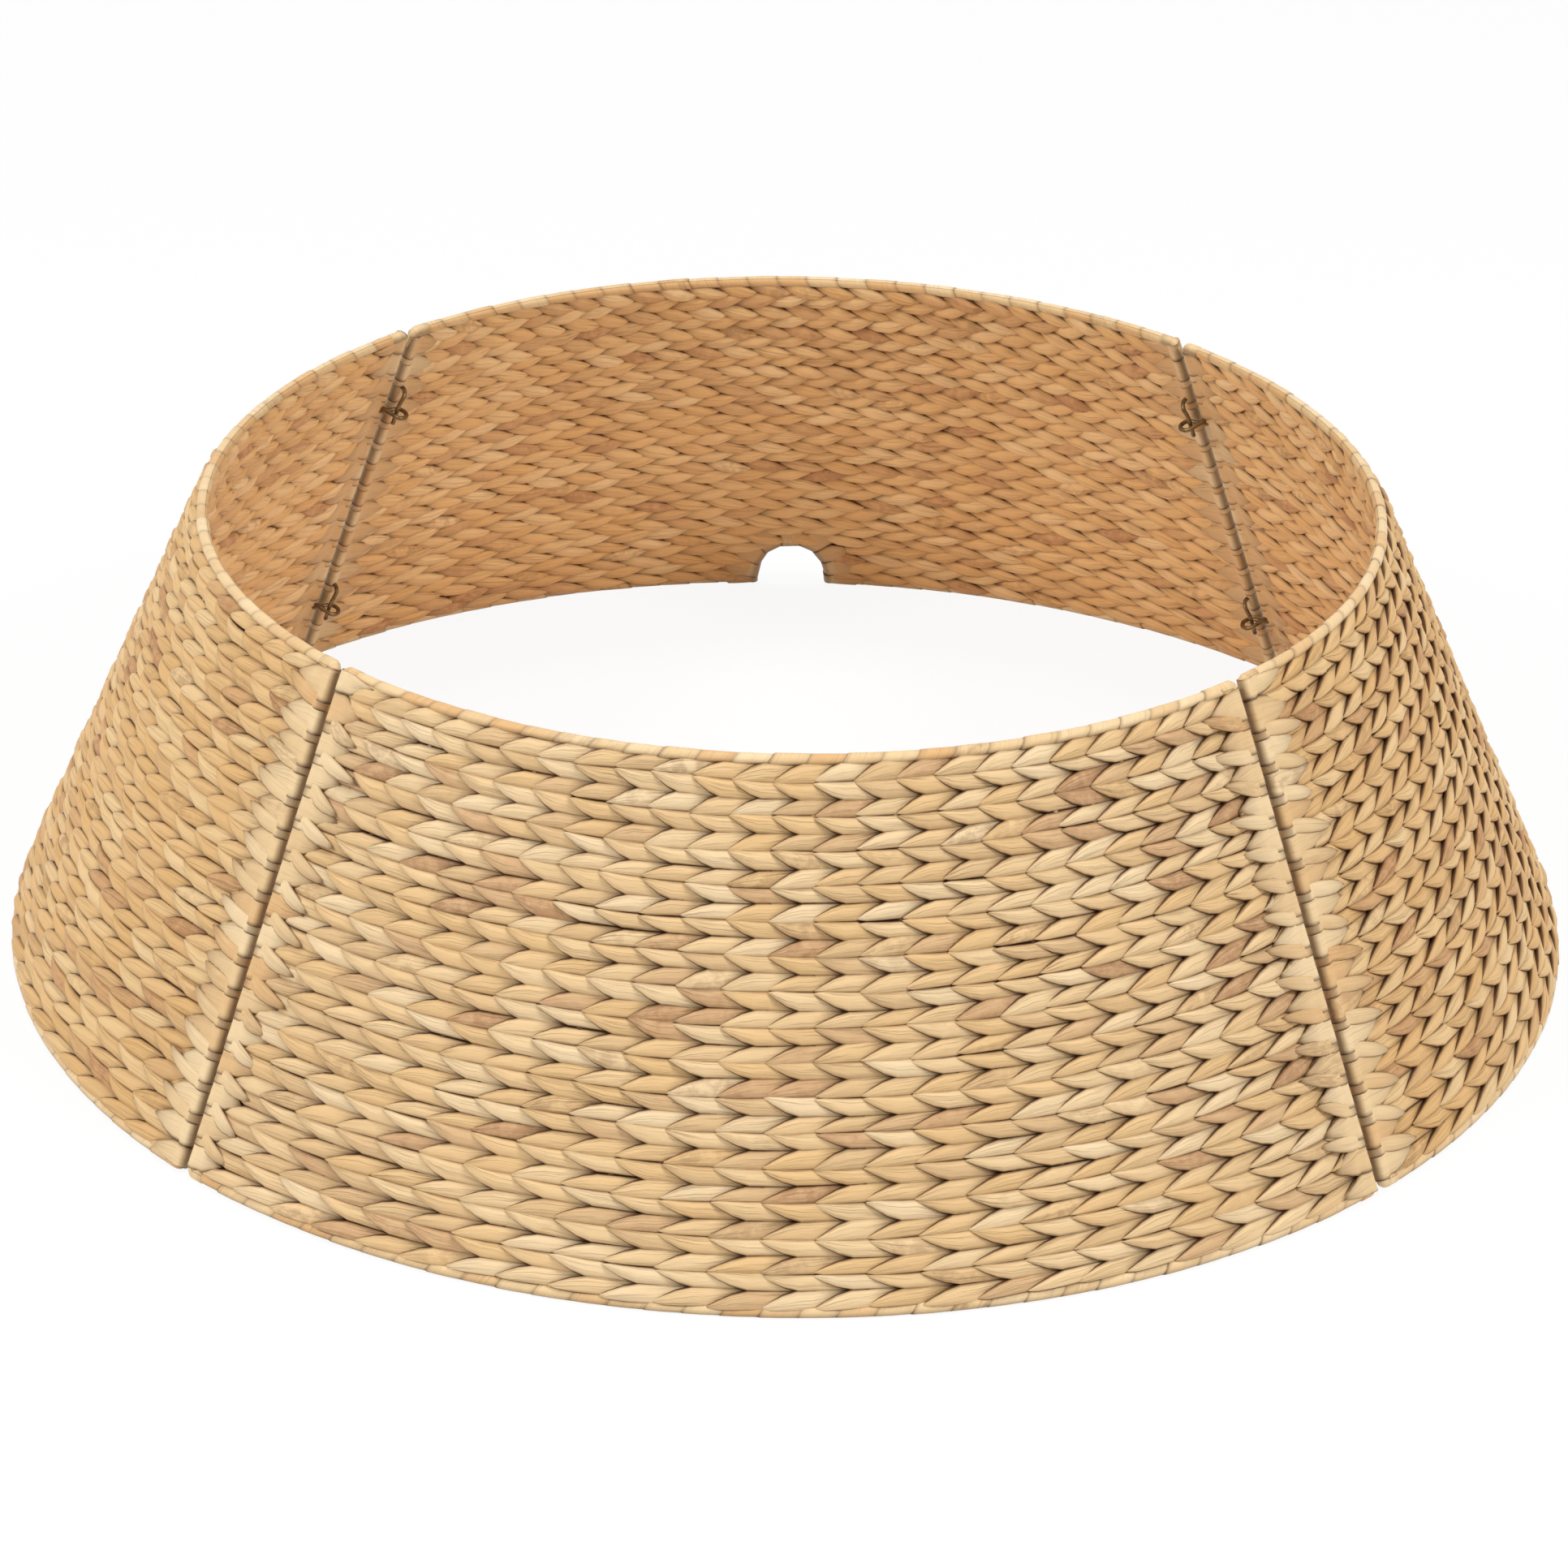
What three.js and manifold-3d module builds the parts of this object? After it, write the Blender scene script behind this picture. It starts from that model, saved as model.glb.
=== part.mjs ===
// Woven christmas tree collar
// A cone-shaped ring of four curved panels, open above and below, that hides a tree stand.
// Each panel is a welded wire frame, woven over and bound with flat strips of water hyacinth.
// Pins on the front and back panels point down and hook into wire eyes on the two side panels.
// Millimetres, +Z up. The origin is on the floor in the middle of the ring, the front faces -Y.

import * as THREE from 'three';
import { mergeVertices } from 'three/addons/utils/BufferGeometryUtils.js';
import ManifoldModule from 'manifold-3d';

// Outline of the collar
const baseOuterRadius = 406;
const topOuterRadius = 300;
const collarHeight = 234;
const panelCount = 4;
const seamGap = 4;

// Woven wall: rows of twined strips one above the other, with a relief that is a share of
// what covers the uprights
const weaveThickness = 9;
const rowsPerPanel = 31;
const rowReliefShare = 0.75;

// Wire frame of a panel
const frameWireRadius = 1.8;
const uprightRadius = 1.5;
const uprightsPerPanel = 2;

// Strips bound round the rims and the side edges
const bindingRadius = 3;

// Opening for the lights' cable, low in the back panel
const notchClearWidth = 40;
const notchClearRise = 33;
const notchRoundness = 2.4;

// Closures: a pin hangs in an eye, twice on each seam
const closureWireRadius = 1.2;
const upperEyeDepth = 54;
const lowerEyeDepth = 208;
const eyeEdgeRoom = 1.94;
const pinRise = 13;
const pinDrop = 7;
const eyeInnerRadius = 3.3;
const eyeLegGap = 0.4;

// Fits
const pieceClearance = 0.35;
const cutOverrun = 20;

// Facets
const arcSteps = 12;
const innerFaceSteps = 8;
const notchSteps = 12;
const wireSides = 6;
const rimSides = 6;
const edgeSides = 8;
const pinSteps = 9;
const eyeSteps = 14;
const eyeArcPoints = 8;

// Route of a pin from its side wire to its tip: shares of the side wire's distance from
// the seam, of the way in to the standoff, and of the rise above the eye
const pinRouteShares = [
  [1, 0, 1],
  [1, 0.45, 1],
  [0.5, 0.9, 0.9],
  [0, 1, 0.5],
  [0, 1, 0],
];

// Finishes
const weaveFinish = { color: 0xdcbc8a, roughness: 0.85, metalness: 0 };
const bindingFinish = { color: 0xd2ae78, roughness: 0.8, metalness: 0 };
const frameFinish = { color: 0x4a443a, roughness: 0.5, metalness: 0.8 };
const closureFinish = { color: 0x7d6238, roughness: 0.45, metalness: 0.7 };

// Sizes that follow from the ones above
const panelAngle = (2 * Math.PI) / panelCount;
const lean = Math.atan2(baseOuterRadius - topOuterRadius, collarHeight);
const cosLean = Math.cos(lean);
const sinLean = Math.sin(lean);
const wallHalfWidth = weaveThickness / 2 / cosLean;
const rimDrop = bindingRadius * Math.cos(Math.PI / rimSides);
const bottomWireHeight = rimDrop;
const topWireHeight = collarHeight - rimDrop;
const sideWireOffset = seamGap / 2 + bindingRadius;
const notchHalfWidth = notchClearWidth / 2 + bindingRadius;
const notchRise = notchClearRise + bindingRadius;
const weaveRimDrop = rimDrop + pieceClearance;
const weaveSideOffset = sideWireOffset + bindingRadius + pieceClearance;
const rowsLowHeight = bottomWireHeight + (bindingRadius / 2) * cosLean;
const rowsHighHeight = topWireHeight - (bindingRadius / 2) * cosLean;
const rowRelief = rowReliefShare * (weaveThickness / 2 - uprightRadius - pieceClearance);
const closureRootInward = frameWireRadius + pieceClearance;
const legHalfPitch = closureWireRadius + eyeLegGap / 2;
const eyeShift = eyeInnerRadius - closureWireRadius - pieceClearance;
const eyeReach = eyeInnerRadius + 2 * closureWireRadius + eyeEdgeRoom + bindingRadius;
const pinStandoff = Math.sqrt(Math.max(0, eyeReach ** 2 - (sideWireOffset - eyeShift) ** 2));

const wasm = await ManifoldModule();
wasm.setup();
const { Manifold, Mesh: SolidMesh } = wasm;

// Radius of the middle of the wall at a height
function wallRadius(height) {
  return baseOuterRadius - wallHalfWidth - height * Math.tan(lean);
}

// Angle of a point that lies a distance away from the seam plane, at a height
function angleFromSeam(distance, height) {
  return Math.asin(distance / wallRadius(height));
}

// Point in the middle of the wall
function wallPoint(angle, height) {
  const radius = wallRadius(height);
  return new THREE.Vector3(radius * Math.cos(angle), radius * Math.sin(angle), height);
}

// A closed geometry as a solid that can be joined and cut
function toSolid(geometry) {
  geometry.deleteAttribute('normal');
  geometry.deleteAttribute('uv');
  const merged = mergeVertices(geometry);
  return new Manifold(new SolidMesh({
    numProp: 3,
    vertProperties: merged.attributes.position.array,
    triVerts: Uint32Array.from(merged.index.array),
  }));
}

// A solid as a flat-shaded geometry
function toGeometry(solid) {
  const { vertProperties, triVerts } = solid.getMesh();
  const indexed = new THREE.BufferGeometry();
  indexed.setAttribute('position', new THREE.BufferAttribute(vertProperties, 3));
  indexed.setIndex(new THREE.BufferAttribute(triVerts, 1));
  const geometry = indexed.toNonIndexed();
  geometry.computeVertexNormals();
  return geometry;
}

function join(solids) {
  return solids.reduce((sum, solid) => sum.add(solid));
}

function cut(solid, tools) {
  return tools.reduce((rest, tool) => rest.subtract(tool), solid);
}

// Level arc round the collar's axis
class RingArc extends THREE.Curve {
  constructor(radius, height, startAngle, endAngle) {
    super();
    this.radius = radius;
    this.height = height;
    this.startAngle = startAngle;
    this.endAngle = endAngle;
  }

  getPoint(t, target = new THREE.Vector3()) {
    const angle = THREE.MathUtils.lerp(this.startAngle, this.endAngle, t);
    return target.set(this.radius * Math.cos(angle), this.radius * Math.sin(angle), this.height);
  }
}

// Arch of the notch, in the middle of the wall: a superellipse that starts below the floor
class NotchArch extends THREE.Curve {
  constructor(growth = 0) {
    super();
    this.growth = growth;
  }

  // Distance across and distance up the slope
  outline(t) {
    const turn = Math.PI * (1 - t);
    const power = 2 / notchRoundness;
    const halfWidth = notchHalfWidth + this.growth;
    const rise = notchRise + bindingRadius + this.growth;
    return new THREE.Vector2(
      halfWidth * Math.sign(Math.cos(turn)) * Math.abs(Math.cos(turn)) ** power,
      rise * Math.sin(turn) ** power - bindingRadius,
    );
  }

  getPoint(t, target = new THREE.Vector3()) {
    const { x, y } = this.outline(t);
    const height = y * cosLean;
    return target.copy(wallPoint(x / wallRadius(height), height));
  }
}

// Regular polygon with a flat side down, the section of every round piece
function roundSection(radius, sides) {
  const points = [];
  for (let i = 0; i < sides; i += 1) {
    const angle = (2 * Math.PI * (i + 1 / 2)) / sides;
    points.push(new THREE.Vector2(radius * Math.cos(angle), radius * Math.sin(angle)));
  }
  return new THREE.Shape(points);
}

function tube(path, radius, sides, steps) {
  const section = roundSection(radius, sides);
  return toSolid(new THREE.ExtrudeGeometry(section, { steps, extrudePath: path }));
}

function rod(start, end, radius, sides) {
  const along = new THREE.Vector3().subVectors(end, start);
  const geometry = new THREE.CylinderGeometry(radius, radius, along.length(), sides);
  const turn = new THREE.Quaternion().setFromUnitVectors(
    new THREE.Vector3(0, 1, 0),
    along.clone().normalize(),
  );
  geometry.applyQuaternion(turn);
  geometry.translate(...start.clone().add(end).divideScalar(2));
  return toSolid(geometry);
}

// Block that holds everything below a height
function blockBelow(height) {
  const width = 2 * (baseOuterRadius + cutOverrun);
  const geometry = new THREE.BoxGeometry(width, width, cutOverrun);
  geometry.translate(0, 0, height - cutOverrun / 2);
  return toSolid(geometry);
}

// Directions at a panel's seam on one side, +1 anticlockwise or -1 clockwise seen from above
function seamDirections(side) {
  const angle = (side * panelAngle) / 2;
  const cos = Math.cos(angle);
  const sin = Math.sin(angle);
  return {
    angle,
    own: new THREE.Vector3(side * sin, -side * cos, 0),
    inward: new THREE.Vector3(-cosLean * cos, -cosLean * sin, -sinLean),
    up: new THREE.Vector3(-sinLean * cos, -sinLean * sin, cosLean),
  };
}

// Point near a seam: how far down it from the top, towards the own panel, inward and up
function seamPoint(side, depth, own, inward, up) {
  const directions = seamDirections(side);
  const point = wallPoint(directions.angle, collarHeight - depth * cosLean);
  point.addScaledVector(directions.own, own);
  point.addScaledVector(directions.inward, inward);
  point.addScaledVector(directions.up, up);
  return point;
}

// Block that holds everything within a distance of the seam plane, and the next panel
function seamBlock(side, distance) {
  const { angle, own } = seamDirections(side);
  const width = 2 * (baseOuterRadius + cutOverrun);
  const geometry = new THREE.BoxGeometry(width, width, width);
  geometry.rotateZ(angle);
  geometry.translate(...own.clone().multiplyScalar(distance - width / 2));
  return toSolid(geometry);
}

function pinPath(side, depth) {
  const points = pinRouteShares.map(([ownShare, inwardShare, riseShare]) => seamPoint(
    side,
    depth,
    ownShare * sideWireOffset,
    THREE.MathUtils.lerp(closureRootInward, pinStandoff, inwardShare),
    riseShare * pinRise,
  ));
  points.push(seamPoint(side, depth, 0, pinStandoff, -pinDrop));
  return new THREE.CatmullRomCurve3(points);
}

// Teardrop loop round the pin: out from the side wire, round, and back beside its start
function eyePath(side, depth) {
  const loopRadius = eyeInnerRadius + closureWireRadius;
  const centre = new THREE.Vector2(-eyeShift, pinStandoff);
  const root = new THREE.Vector2(sideWireOffset, closureRootInward);
  const neck = new THREE.Vector2(sideWireOffset, bindingRadius + closureWireRadius);
  const toNeck = neck.clone().sub(centre);
  const tangentTurn = Math.acos(loopRadius / toNeck.length());
  const outline = [root, neck];
  for (let i = 0; i <= eyeArcPoints; i += 1) {
    const turn = THREE.MathUtils.lerp(tangentTurn, 2 * Math.PI - tangentTurn, i / eyeArcPoints);
    const angle = toNeck.angle() + turn;
    outline.push(new THREE.Vector2(
      centre.x + loopRadius * Math.cos(angle),
      centre.y + loopRadius * Math.sin(angle),
    ));
  }
  outline.push(neck, root);
  const points = outline.map((point, i) => seamPoint(
    side,
    depth,
    point.x,
    point.y,
    THREE.MathUtils.lerp(legHalfPitch, -legHalfPitch, i / (outline.length - 1)),
  ));
  return new THREE.CatmullRomCurve3(points);
}

function closureWire(kind, side, depth) {
  return kind === 'pin'
    ? tube(pinPath(side, depth), closureWireRadius, wireSides, pinSteps)
    : tube(eyePath(side, depth), closureWireRadius, wireSides, eyeSteps);
}

// Block round the legs of a closure, from the middle of its side wire inwards
function closureBlock(kind, side, depth) {
  const rises = kind === 'pin' ? [pinRise, pinRise] : [-legHalfPitch, legHalfPitch];
  const halfWidth = closureWireRadius + 2 * pieceClearance;
  const height = rises[1] - rises[0] + 2 * halfWidth;
  const middleRise = (rises[0] + rises[1]) / 2;
  const { own, inward, up } = seamDirections(side);
  const geometry = new THREE.BoxGeometry(2 * halfWidth, cutOverrun, height);
  geometry.applyMatrix4(
    new THREE.Matrix4()
      .makeBasis(own.multiplyScalar(-side), inward, up)
      .setPosition(seamPoint(side, depth, sideWireOffset, cutOverrun / 2, middleRise)),
  );
  return toSolid(geometry);
}

// Arcs of a rim, with the notch left out of the bottom one of a notched panel
function rimArcs(height, endDistance, notched) {
  const end = panelAngle / 2 - angleFromSeam(endDistance, height);
  const radius = wallRadius(height);
  if (!notched) {
    return [{ path: new RingArc(radius, height, -end, end), steps: arcSteps }];
  }
  const notchEnd = notchHalfWidth / radius;
  return [
    { path: new RingArc(radius, height, -end, -notchEnd), steps: arcSteps / 2 },
    { path: new RingArc(radius, height, notchEnd, end), steps: arcSteps / 2 },
  ];
}

function rimTubes(height, endDistance, notched, radius, sides) {
  return rimArcs(height, endDistance, notched).map(
    ({ path, steps }) => tube(path, radius, sides, steps),
  );
}

// Rod along a side wire, its ends short of the rims' middle lines by a rise
function sideRod(side, radius, sides, endRise = 0) {
  const ends = [bottomWireHeight + endRise, topWireHeight - endRise].map((height) => {
    const angle = panelAngle / 2 - angleFromSeam(sideWireOffset, height);
    return wallPoint(side * angle, height);
  });
  return rod(...ends, radius, sides);
}

// Welded wires: top, bottom, both sides and the uprights, all thicker by a growth for cuts
function frameSolid(notched, growth) {
  const wireRadius = frameWireRadius + growth;
  const wireEnd = sideWireOffset - frameWireRadius - growth;
  const wires = [
    ...rimTubes(topWireHeight, wireEnd, false, wireRadius, wireSides),
    ...rimTubes(bottomWireHeight, wireEnd, notched, wireRadius, wireSides),
    sideRod(1, wireRadius, wireSides),
    sideRod(-1, wireRadius, wireSides),
  ];
  for (let i = 0; i < uprightsPerPanel; i += 1) {
    const angle = panelAngle * ((i + 1 / 2) / uprightsPerPanel - 1 / 2);
    const foot = wallPoint(angle, bottomWireHeight);
    wires.push(rod(foot, wallPoint(angle, topWireHeight), uprightRadius + growth, wireSides));
  }
  if (notched) {
    const arch = tube(new NotchArch(), wireRadius, wireSides, notchSteps);
    wires.push(arch.subtract(blockBelow(bottomWireHeight - frameWireRadius)));
  }
  return join(wires);
}

// Heights where the wall has a crest, in the middle of a row, or a valley, between two rows
function rowHeights(lowHeight, highHeight) {
  const heights = [lowHeight];
  for (let i = 0; i <= 2 * rowsPerPanel; i += 1) {
    const height = THREE.MathUtils.lerp(rowsLowHeight, rowsHighHeight, i / rowsPerPanel / 2);
    if (height > lowHeight + pieceClearance && height < highHeight - pieceClearance) {
      heights.push(height);
    }
  }
  return [...heights, highHeight];
}

// Level distance from the middle of the wall to its face at a height
function rowReach(height) {
  const rows = (rowsPerPanel * (height - rowsLowHeight)) / (rowsHighHeight - rowsLowHeight);
  const crestShare = 1 - Math.abs(1 - ((2 * rows) % 2));
  return wallHalfWidth - ((1 - crestShare) * rowRelief) / cosLean;
}

// Half of the slanted wall with one face of it, +1 the outer and -1 the inner one
function wallHalf(direction, steps) {
  const lowHeight = bottomWireHeight + weaveRimDrop;
  const highHeight = topWireHeight - weaveRimDrop;
  const middleHeight = (lowHeight + highHeight) / 2;
  const middleRadius = wallRadius(middleHeight);
  const corners = [
    ...rowHeights(lowHeight, highHeight).map((height) => [height, rowReach(height)]),
    [highHeight, -wallHalfWidth / 4],
    [lowHeight, -wallHalfWidth / 4],
  ];
  const profile = new THREE.Shape(corners.map(([height, reach]) => new THREE.Vector2(
    middleHeight - height,
    middleRadius - wallRadius(height) - direction * reach,
  )));
  const path = new RingArc(middleRadius, middleHeight, -panelAngle / 2, panelAngle / 2);
  return toSolid(new THREE.ExtrudeGeometry(profile, { steps, extrudePath: path }));
}

// Slanted wall of woven rows, clear of the bound rims and edges
function wallSolid() {
  const wall = join([wallHalf(1, arcSteps), wallHalf(-1, innerFaceSteps)]);
  return cut(wall, [seamBlock(1, weaveSideOffset), seamBlock(-1, weaveSideOffset)]);
}

// Block through the wall that clears the bound arch of the notch
function notchBlock() {
  const arch = new NotchArch(bindingRadius + pieceClearance);
  const outline = [];
  for (let i = 0; i <= notchSteps; i += 1) {
    outline.push(arch.outline(i / notchSteps));
  }
  const depth = weaveThickness + 2 * cutOverrun;
  const geometry = new THREE.ExtrudeGeometry(new THREE.Shape(outline), { depth, bevelEnabled: false });
  geometry.translate(0, 0, -depth / 2);
  geometry.applyMatrix4(new THREE.Matrix4().makeBasis(
    new THREE.Vector3(0, 1, 0),
    new THREE.Vector3(-sinLean, 0, cosLean),
    new THREE.Vector3(cosLean, 0, sinLean),
  ).setPosition(wallPoint(0, 0)));
  return toSolid(geometry);
}

function addPiece(group, name, solid, finish) {
  const mesh = new THREE.Mesh(toGeometry(solid), new THREE.MeshStandardMaterial(finish));
  mesh.name = name;
  group.add(mesh);
}

// One panel, built facing +X and turned to its place round the ring
function makePanel({ name, facing, neighbours, closure, notched }) {
  const group = new THREE.Group();
  group.rotation.z = facing;
  const sides = [1, -1];
  const levels = { upper: upperEyeDepth, lower: lowerEyeDepth };
  const rimEnd = seamGap / 2;

  const frameRoom = frameSolid(notched, pieceClearance);
  addPiece(group, `${name}_panel_frame`, frameSolid(notched, 0), frameFinish);

  const roomRadius = bindingRadius + pieceClearance;
  const notchRooms = [];
  if (notched) {
    const arch = tube(new NotchArch(), bindingRadius, rimSides, notchSteps);
    const binding = cut(arch, [frameRoom, blockBelow(0)]);
    addPiece(group, 'cord_notch_binding', binding, bindingFinish);
    notchRooms.push(tube(new NotchArch(), roomRadius, rimSides, notchSteps));
  }

  const topRims = rimTubes(topWireHeight, rimEnd, false, bindingRadius, rimSides);
  addPiece(group, `${name}_top_rim_binding`, cut(topRims[0], [frameRoom]), bindingFinish);

  const bottomRims = rimTubes(bottomWireHeight, rimEnd, notched, bindingRadius, rimSides);
  bottomRims.forEach((rim, i) => {
    const part = notched ? `_${neighbours[1 - i]}` : '';
    const binding = cut(rim, [frameRoom, ...notchRooms]);
    addPiece(group, `${name}_bottom_rim_binding${part}`, binding, bindingFinish);
  });

  const rimRooms = [
    ...rimTubes(topWireHeight, 0, false, roomRadius, rimSides),
    ...rimTubes(bottomWireHeight, 0, notched, roomRadius, rimSides),
  ];
  sides.forEach((side, i) => {
    const rooms = [frameRoom, ...rimRooms];
    Object.entries(levels).forEach(([level, depth]) => {
      const solid = closureWire(closure, side, depth);
      addPiece(group, `${name}_${neighbours[i]}_${level}_${closure}`, solid, closureFinish);
      rooms.push(closureBlock(closure, side, depth));
    });
    const edge = sideRod(side, bindingRadius, edgeSides, bindingRadius * sinLean);
    addPiece(group, `${name}_${neighbours[i]}_edge_binding`, cut(edge, rooms), bindingFinish);
  });

  const openings = notched ? [notchBlock()] : [];
  const weave = cut(wallSolid(), [frameRoom, ...openings]);
  addPiece(group, `${name}_panel_weave`, weave, weaveFinish);
  return group;
}

// Where each panel faces, and its neighbours anticlockwise and clockwise seen from above
const panels = [
  { name: 'back', facing: Math.PI / 2, neighbours: ['left', 'right'], closure: 'pin', notched: true },
  { name: 'left', facing: Math.PI, neighbours: ['front', 'back'], closure: 'eye', notched: false },
  { name: 'front', facing: -Math.PI / 2, neighbours: ['right', 'left'], closure: 'pin', notched: false },
  { name: 'right', facing: 0, neighbours: ['back', 'front'], closure: 'eye', notched: false },
];

const collar = new THREE.Group();
collar.name = 'christmas_tree_collar';
panels.forEach((panel) => collar.add(makePanel(panel)));

export default collar;
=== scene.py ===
"""Looks of a woven christmas tree collar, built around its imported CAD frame.

The collar is a cone-shaped ring of four panels, twined from flat strips of water
hyacinth. Each panel gets its rows of strips on both faces, strips wound round its
edges and rims, and its wire closures. Lengths are metres, +Z is up, the front faces -Y.
"""
import logging
import math
from dataclasses import dataclass, replace
from enum import Enum
from functools import partial
from typing import Callable, Optional, Sequence, Union

import bmesh
import bpy
from mathutils import Matrix, Vector


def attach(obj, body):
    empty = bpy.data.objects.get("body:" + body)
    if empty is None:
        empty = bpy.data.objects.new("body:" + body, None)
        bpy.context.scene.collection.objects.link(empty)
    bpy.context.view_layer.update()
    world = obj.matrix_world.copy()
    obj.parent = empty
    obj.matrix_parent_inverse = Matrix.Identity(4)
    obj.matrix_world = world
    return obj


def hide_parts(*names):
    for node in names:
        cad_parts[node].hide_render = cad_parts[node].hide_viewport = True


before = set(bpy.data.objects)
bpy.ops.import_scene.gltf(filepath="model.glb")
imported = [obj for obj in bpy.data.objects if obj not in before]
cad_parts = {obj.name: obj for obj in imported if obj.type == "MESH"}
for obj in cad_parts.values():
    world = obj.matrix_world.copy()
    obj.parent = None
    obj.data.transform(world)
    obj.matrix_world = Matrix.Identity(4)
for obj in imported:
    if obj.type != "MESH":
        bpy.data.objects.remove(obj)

LOG = logging.getLogger("collar")
MM = 0.001
QUARTER = math.pi / 2
WHITE = (1.0, 1.0, 1.0, 1.0)
SECTION_TURNS = [2 * math.pi * k / 12 for k in range(12)]
UV_NAME = "strip_uv"
TONE = "strip_tone"
WEAR = "strip_wear"
LAYOUT_NAMES = ("row_slant", "fan_reach", "fan_bend")

Colour = tuple[int, int, int]
Profile = tuple[tuple[float, float], ...]
Ring = list[tuple[Sequence[float], tuple[float, float]]]
Value = Union["Number", float, int, bool, str, tuple]


class Face(Enum):
    """Face of the woven wall that a layer of strips lies on."""

    OUTER = 1
    INNER = -1


class Edge(Enum):
    """Upright edge of a panel, seen from outside the ring."""

    LEFT = 0
    RIGHT = 1


class Closure(Enum):
    """Wire closure that a panel carries on both its edges."""

    PIN = "pin"
    EYE = "eye"


def linear(red: int, green: int, blue: int) -> tuple[float, ...]:
    """Turns a screen colour into the linear colour that a shader takes.

    Args:
        red: Red, 0 to 255.
        green: Green, 0 to 255.
        blue: Blue, 0 to 255.

    Returns:
        Linear red, green and blue, with alpha 1.
    """
    shares = [value / 255 for value in (red, green, blue)]
    low, high = 0.04045, 2.4
    parts = [s / 12.92 if s <= low else ((s + 0.055) / 1.055) ** high for s in shares]
    return (*parts, 1.0)


def add_object(name: str, data: bpy.types.ID) -> bpy.types.Object:
    """Makes an object and puts it in the scene.

    Args:
        name: Name of the object.
        data: Its mesh, light or camera.

    Returns:
        The object.
    """
    made = bpy.data.objects.new(name, data)
    bpy.context.scene.collection.objects.link(made)
    return made


# Node trees


def titled(values: dict[str, Value]) -> dict[str, Value]:
    """Turns names of arguments into names of sockets."""
    return {name.replace("_", " ").title(): value for name, value in values.items()}


def arithmetic(operation: str, swapped: bool = False) -> Callable[["Number", Value], "Number"]:
    """Makes the method of an arithmetic sign.

    Args:
        operation: Name of the operation.
        swapped: Whether the number stands behind the sign.

    Returns:
        The method.
    """

    def work_out(number: "Number", other: Value) -> "Number":
        """Adds the node that works the sign out."""
        values = (other, number) if swapped else (number, other)
        return number.writer.math(operation, *values)

    return work_out


class Number:
    """A value in a node tree whose arithmetic adds the nodes that work it out."""

    def __init__(self, writer: "TreeWriter", socket: bpy.types.NodeSocket) -> None:
        """Keeps the socket and the writer of its tree."""
        self.writer = writer
        self.socket = socket

    __add__ = arithmetic("ADD")
    __radd__ = arithmetic("ADD", swapped=True)
    __sub__ = arithmetic("SUBTRACT")
    __rsub__ = arithmetic("SUBTRACT", swapped=True)
    __mul__ = arithmetic("MULTIPLY")
    __truediv__ = arithmetic("DIVIDE")
    __pow__ = arithmetic("POWER")


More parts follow.
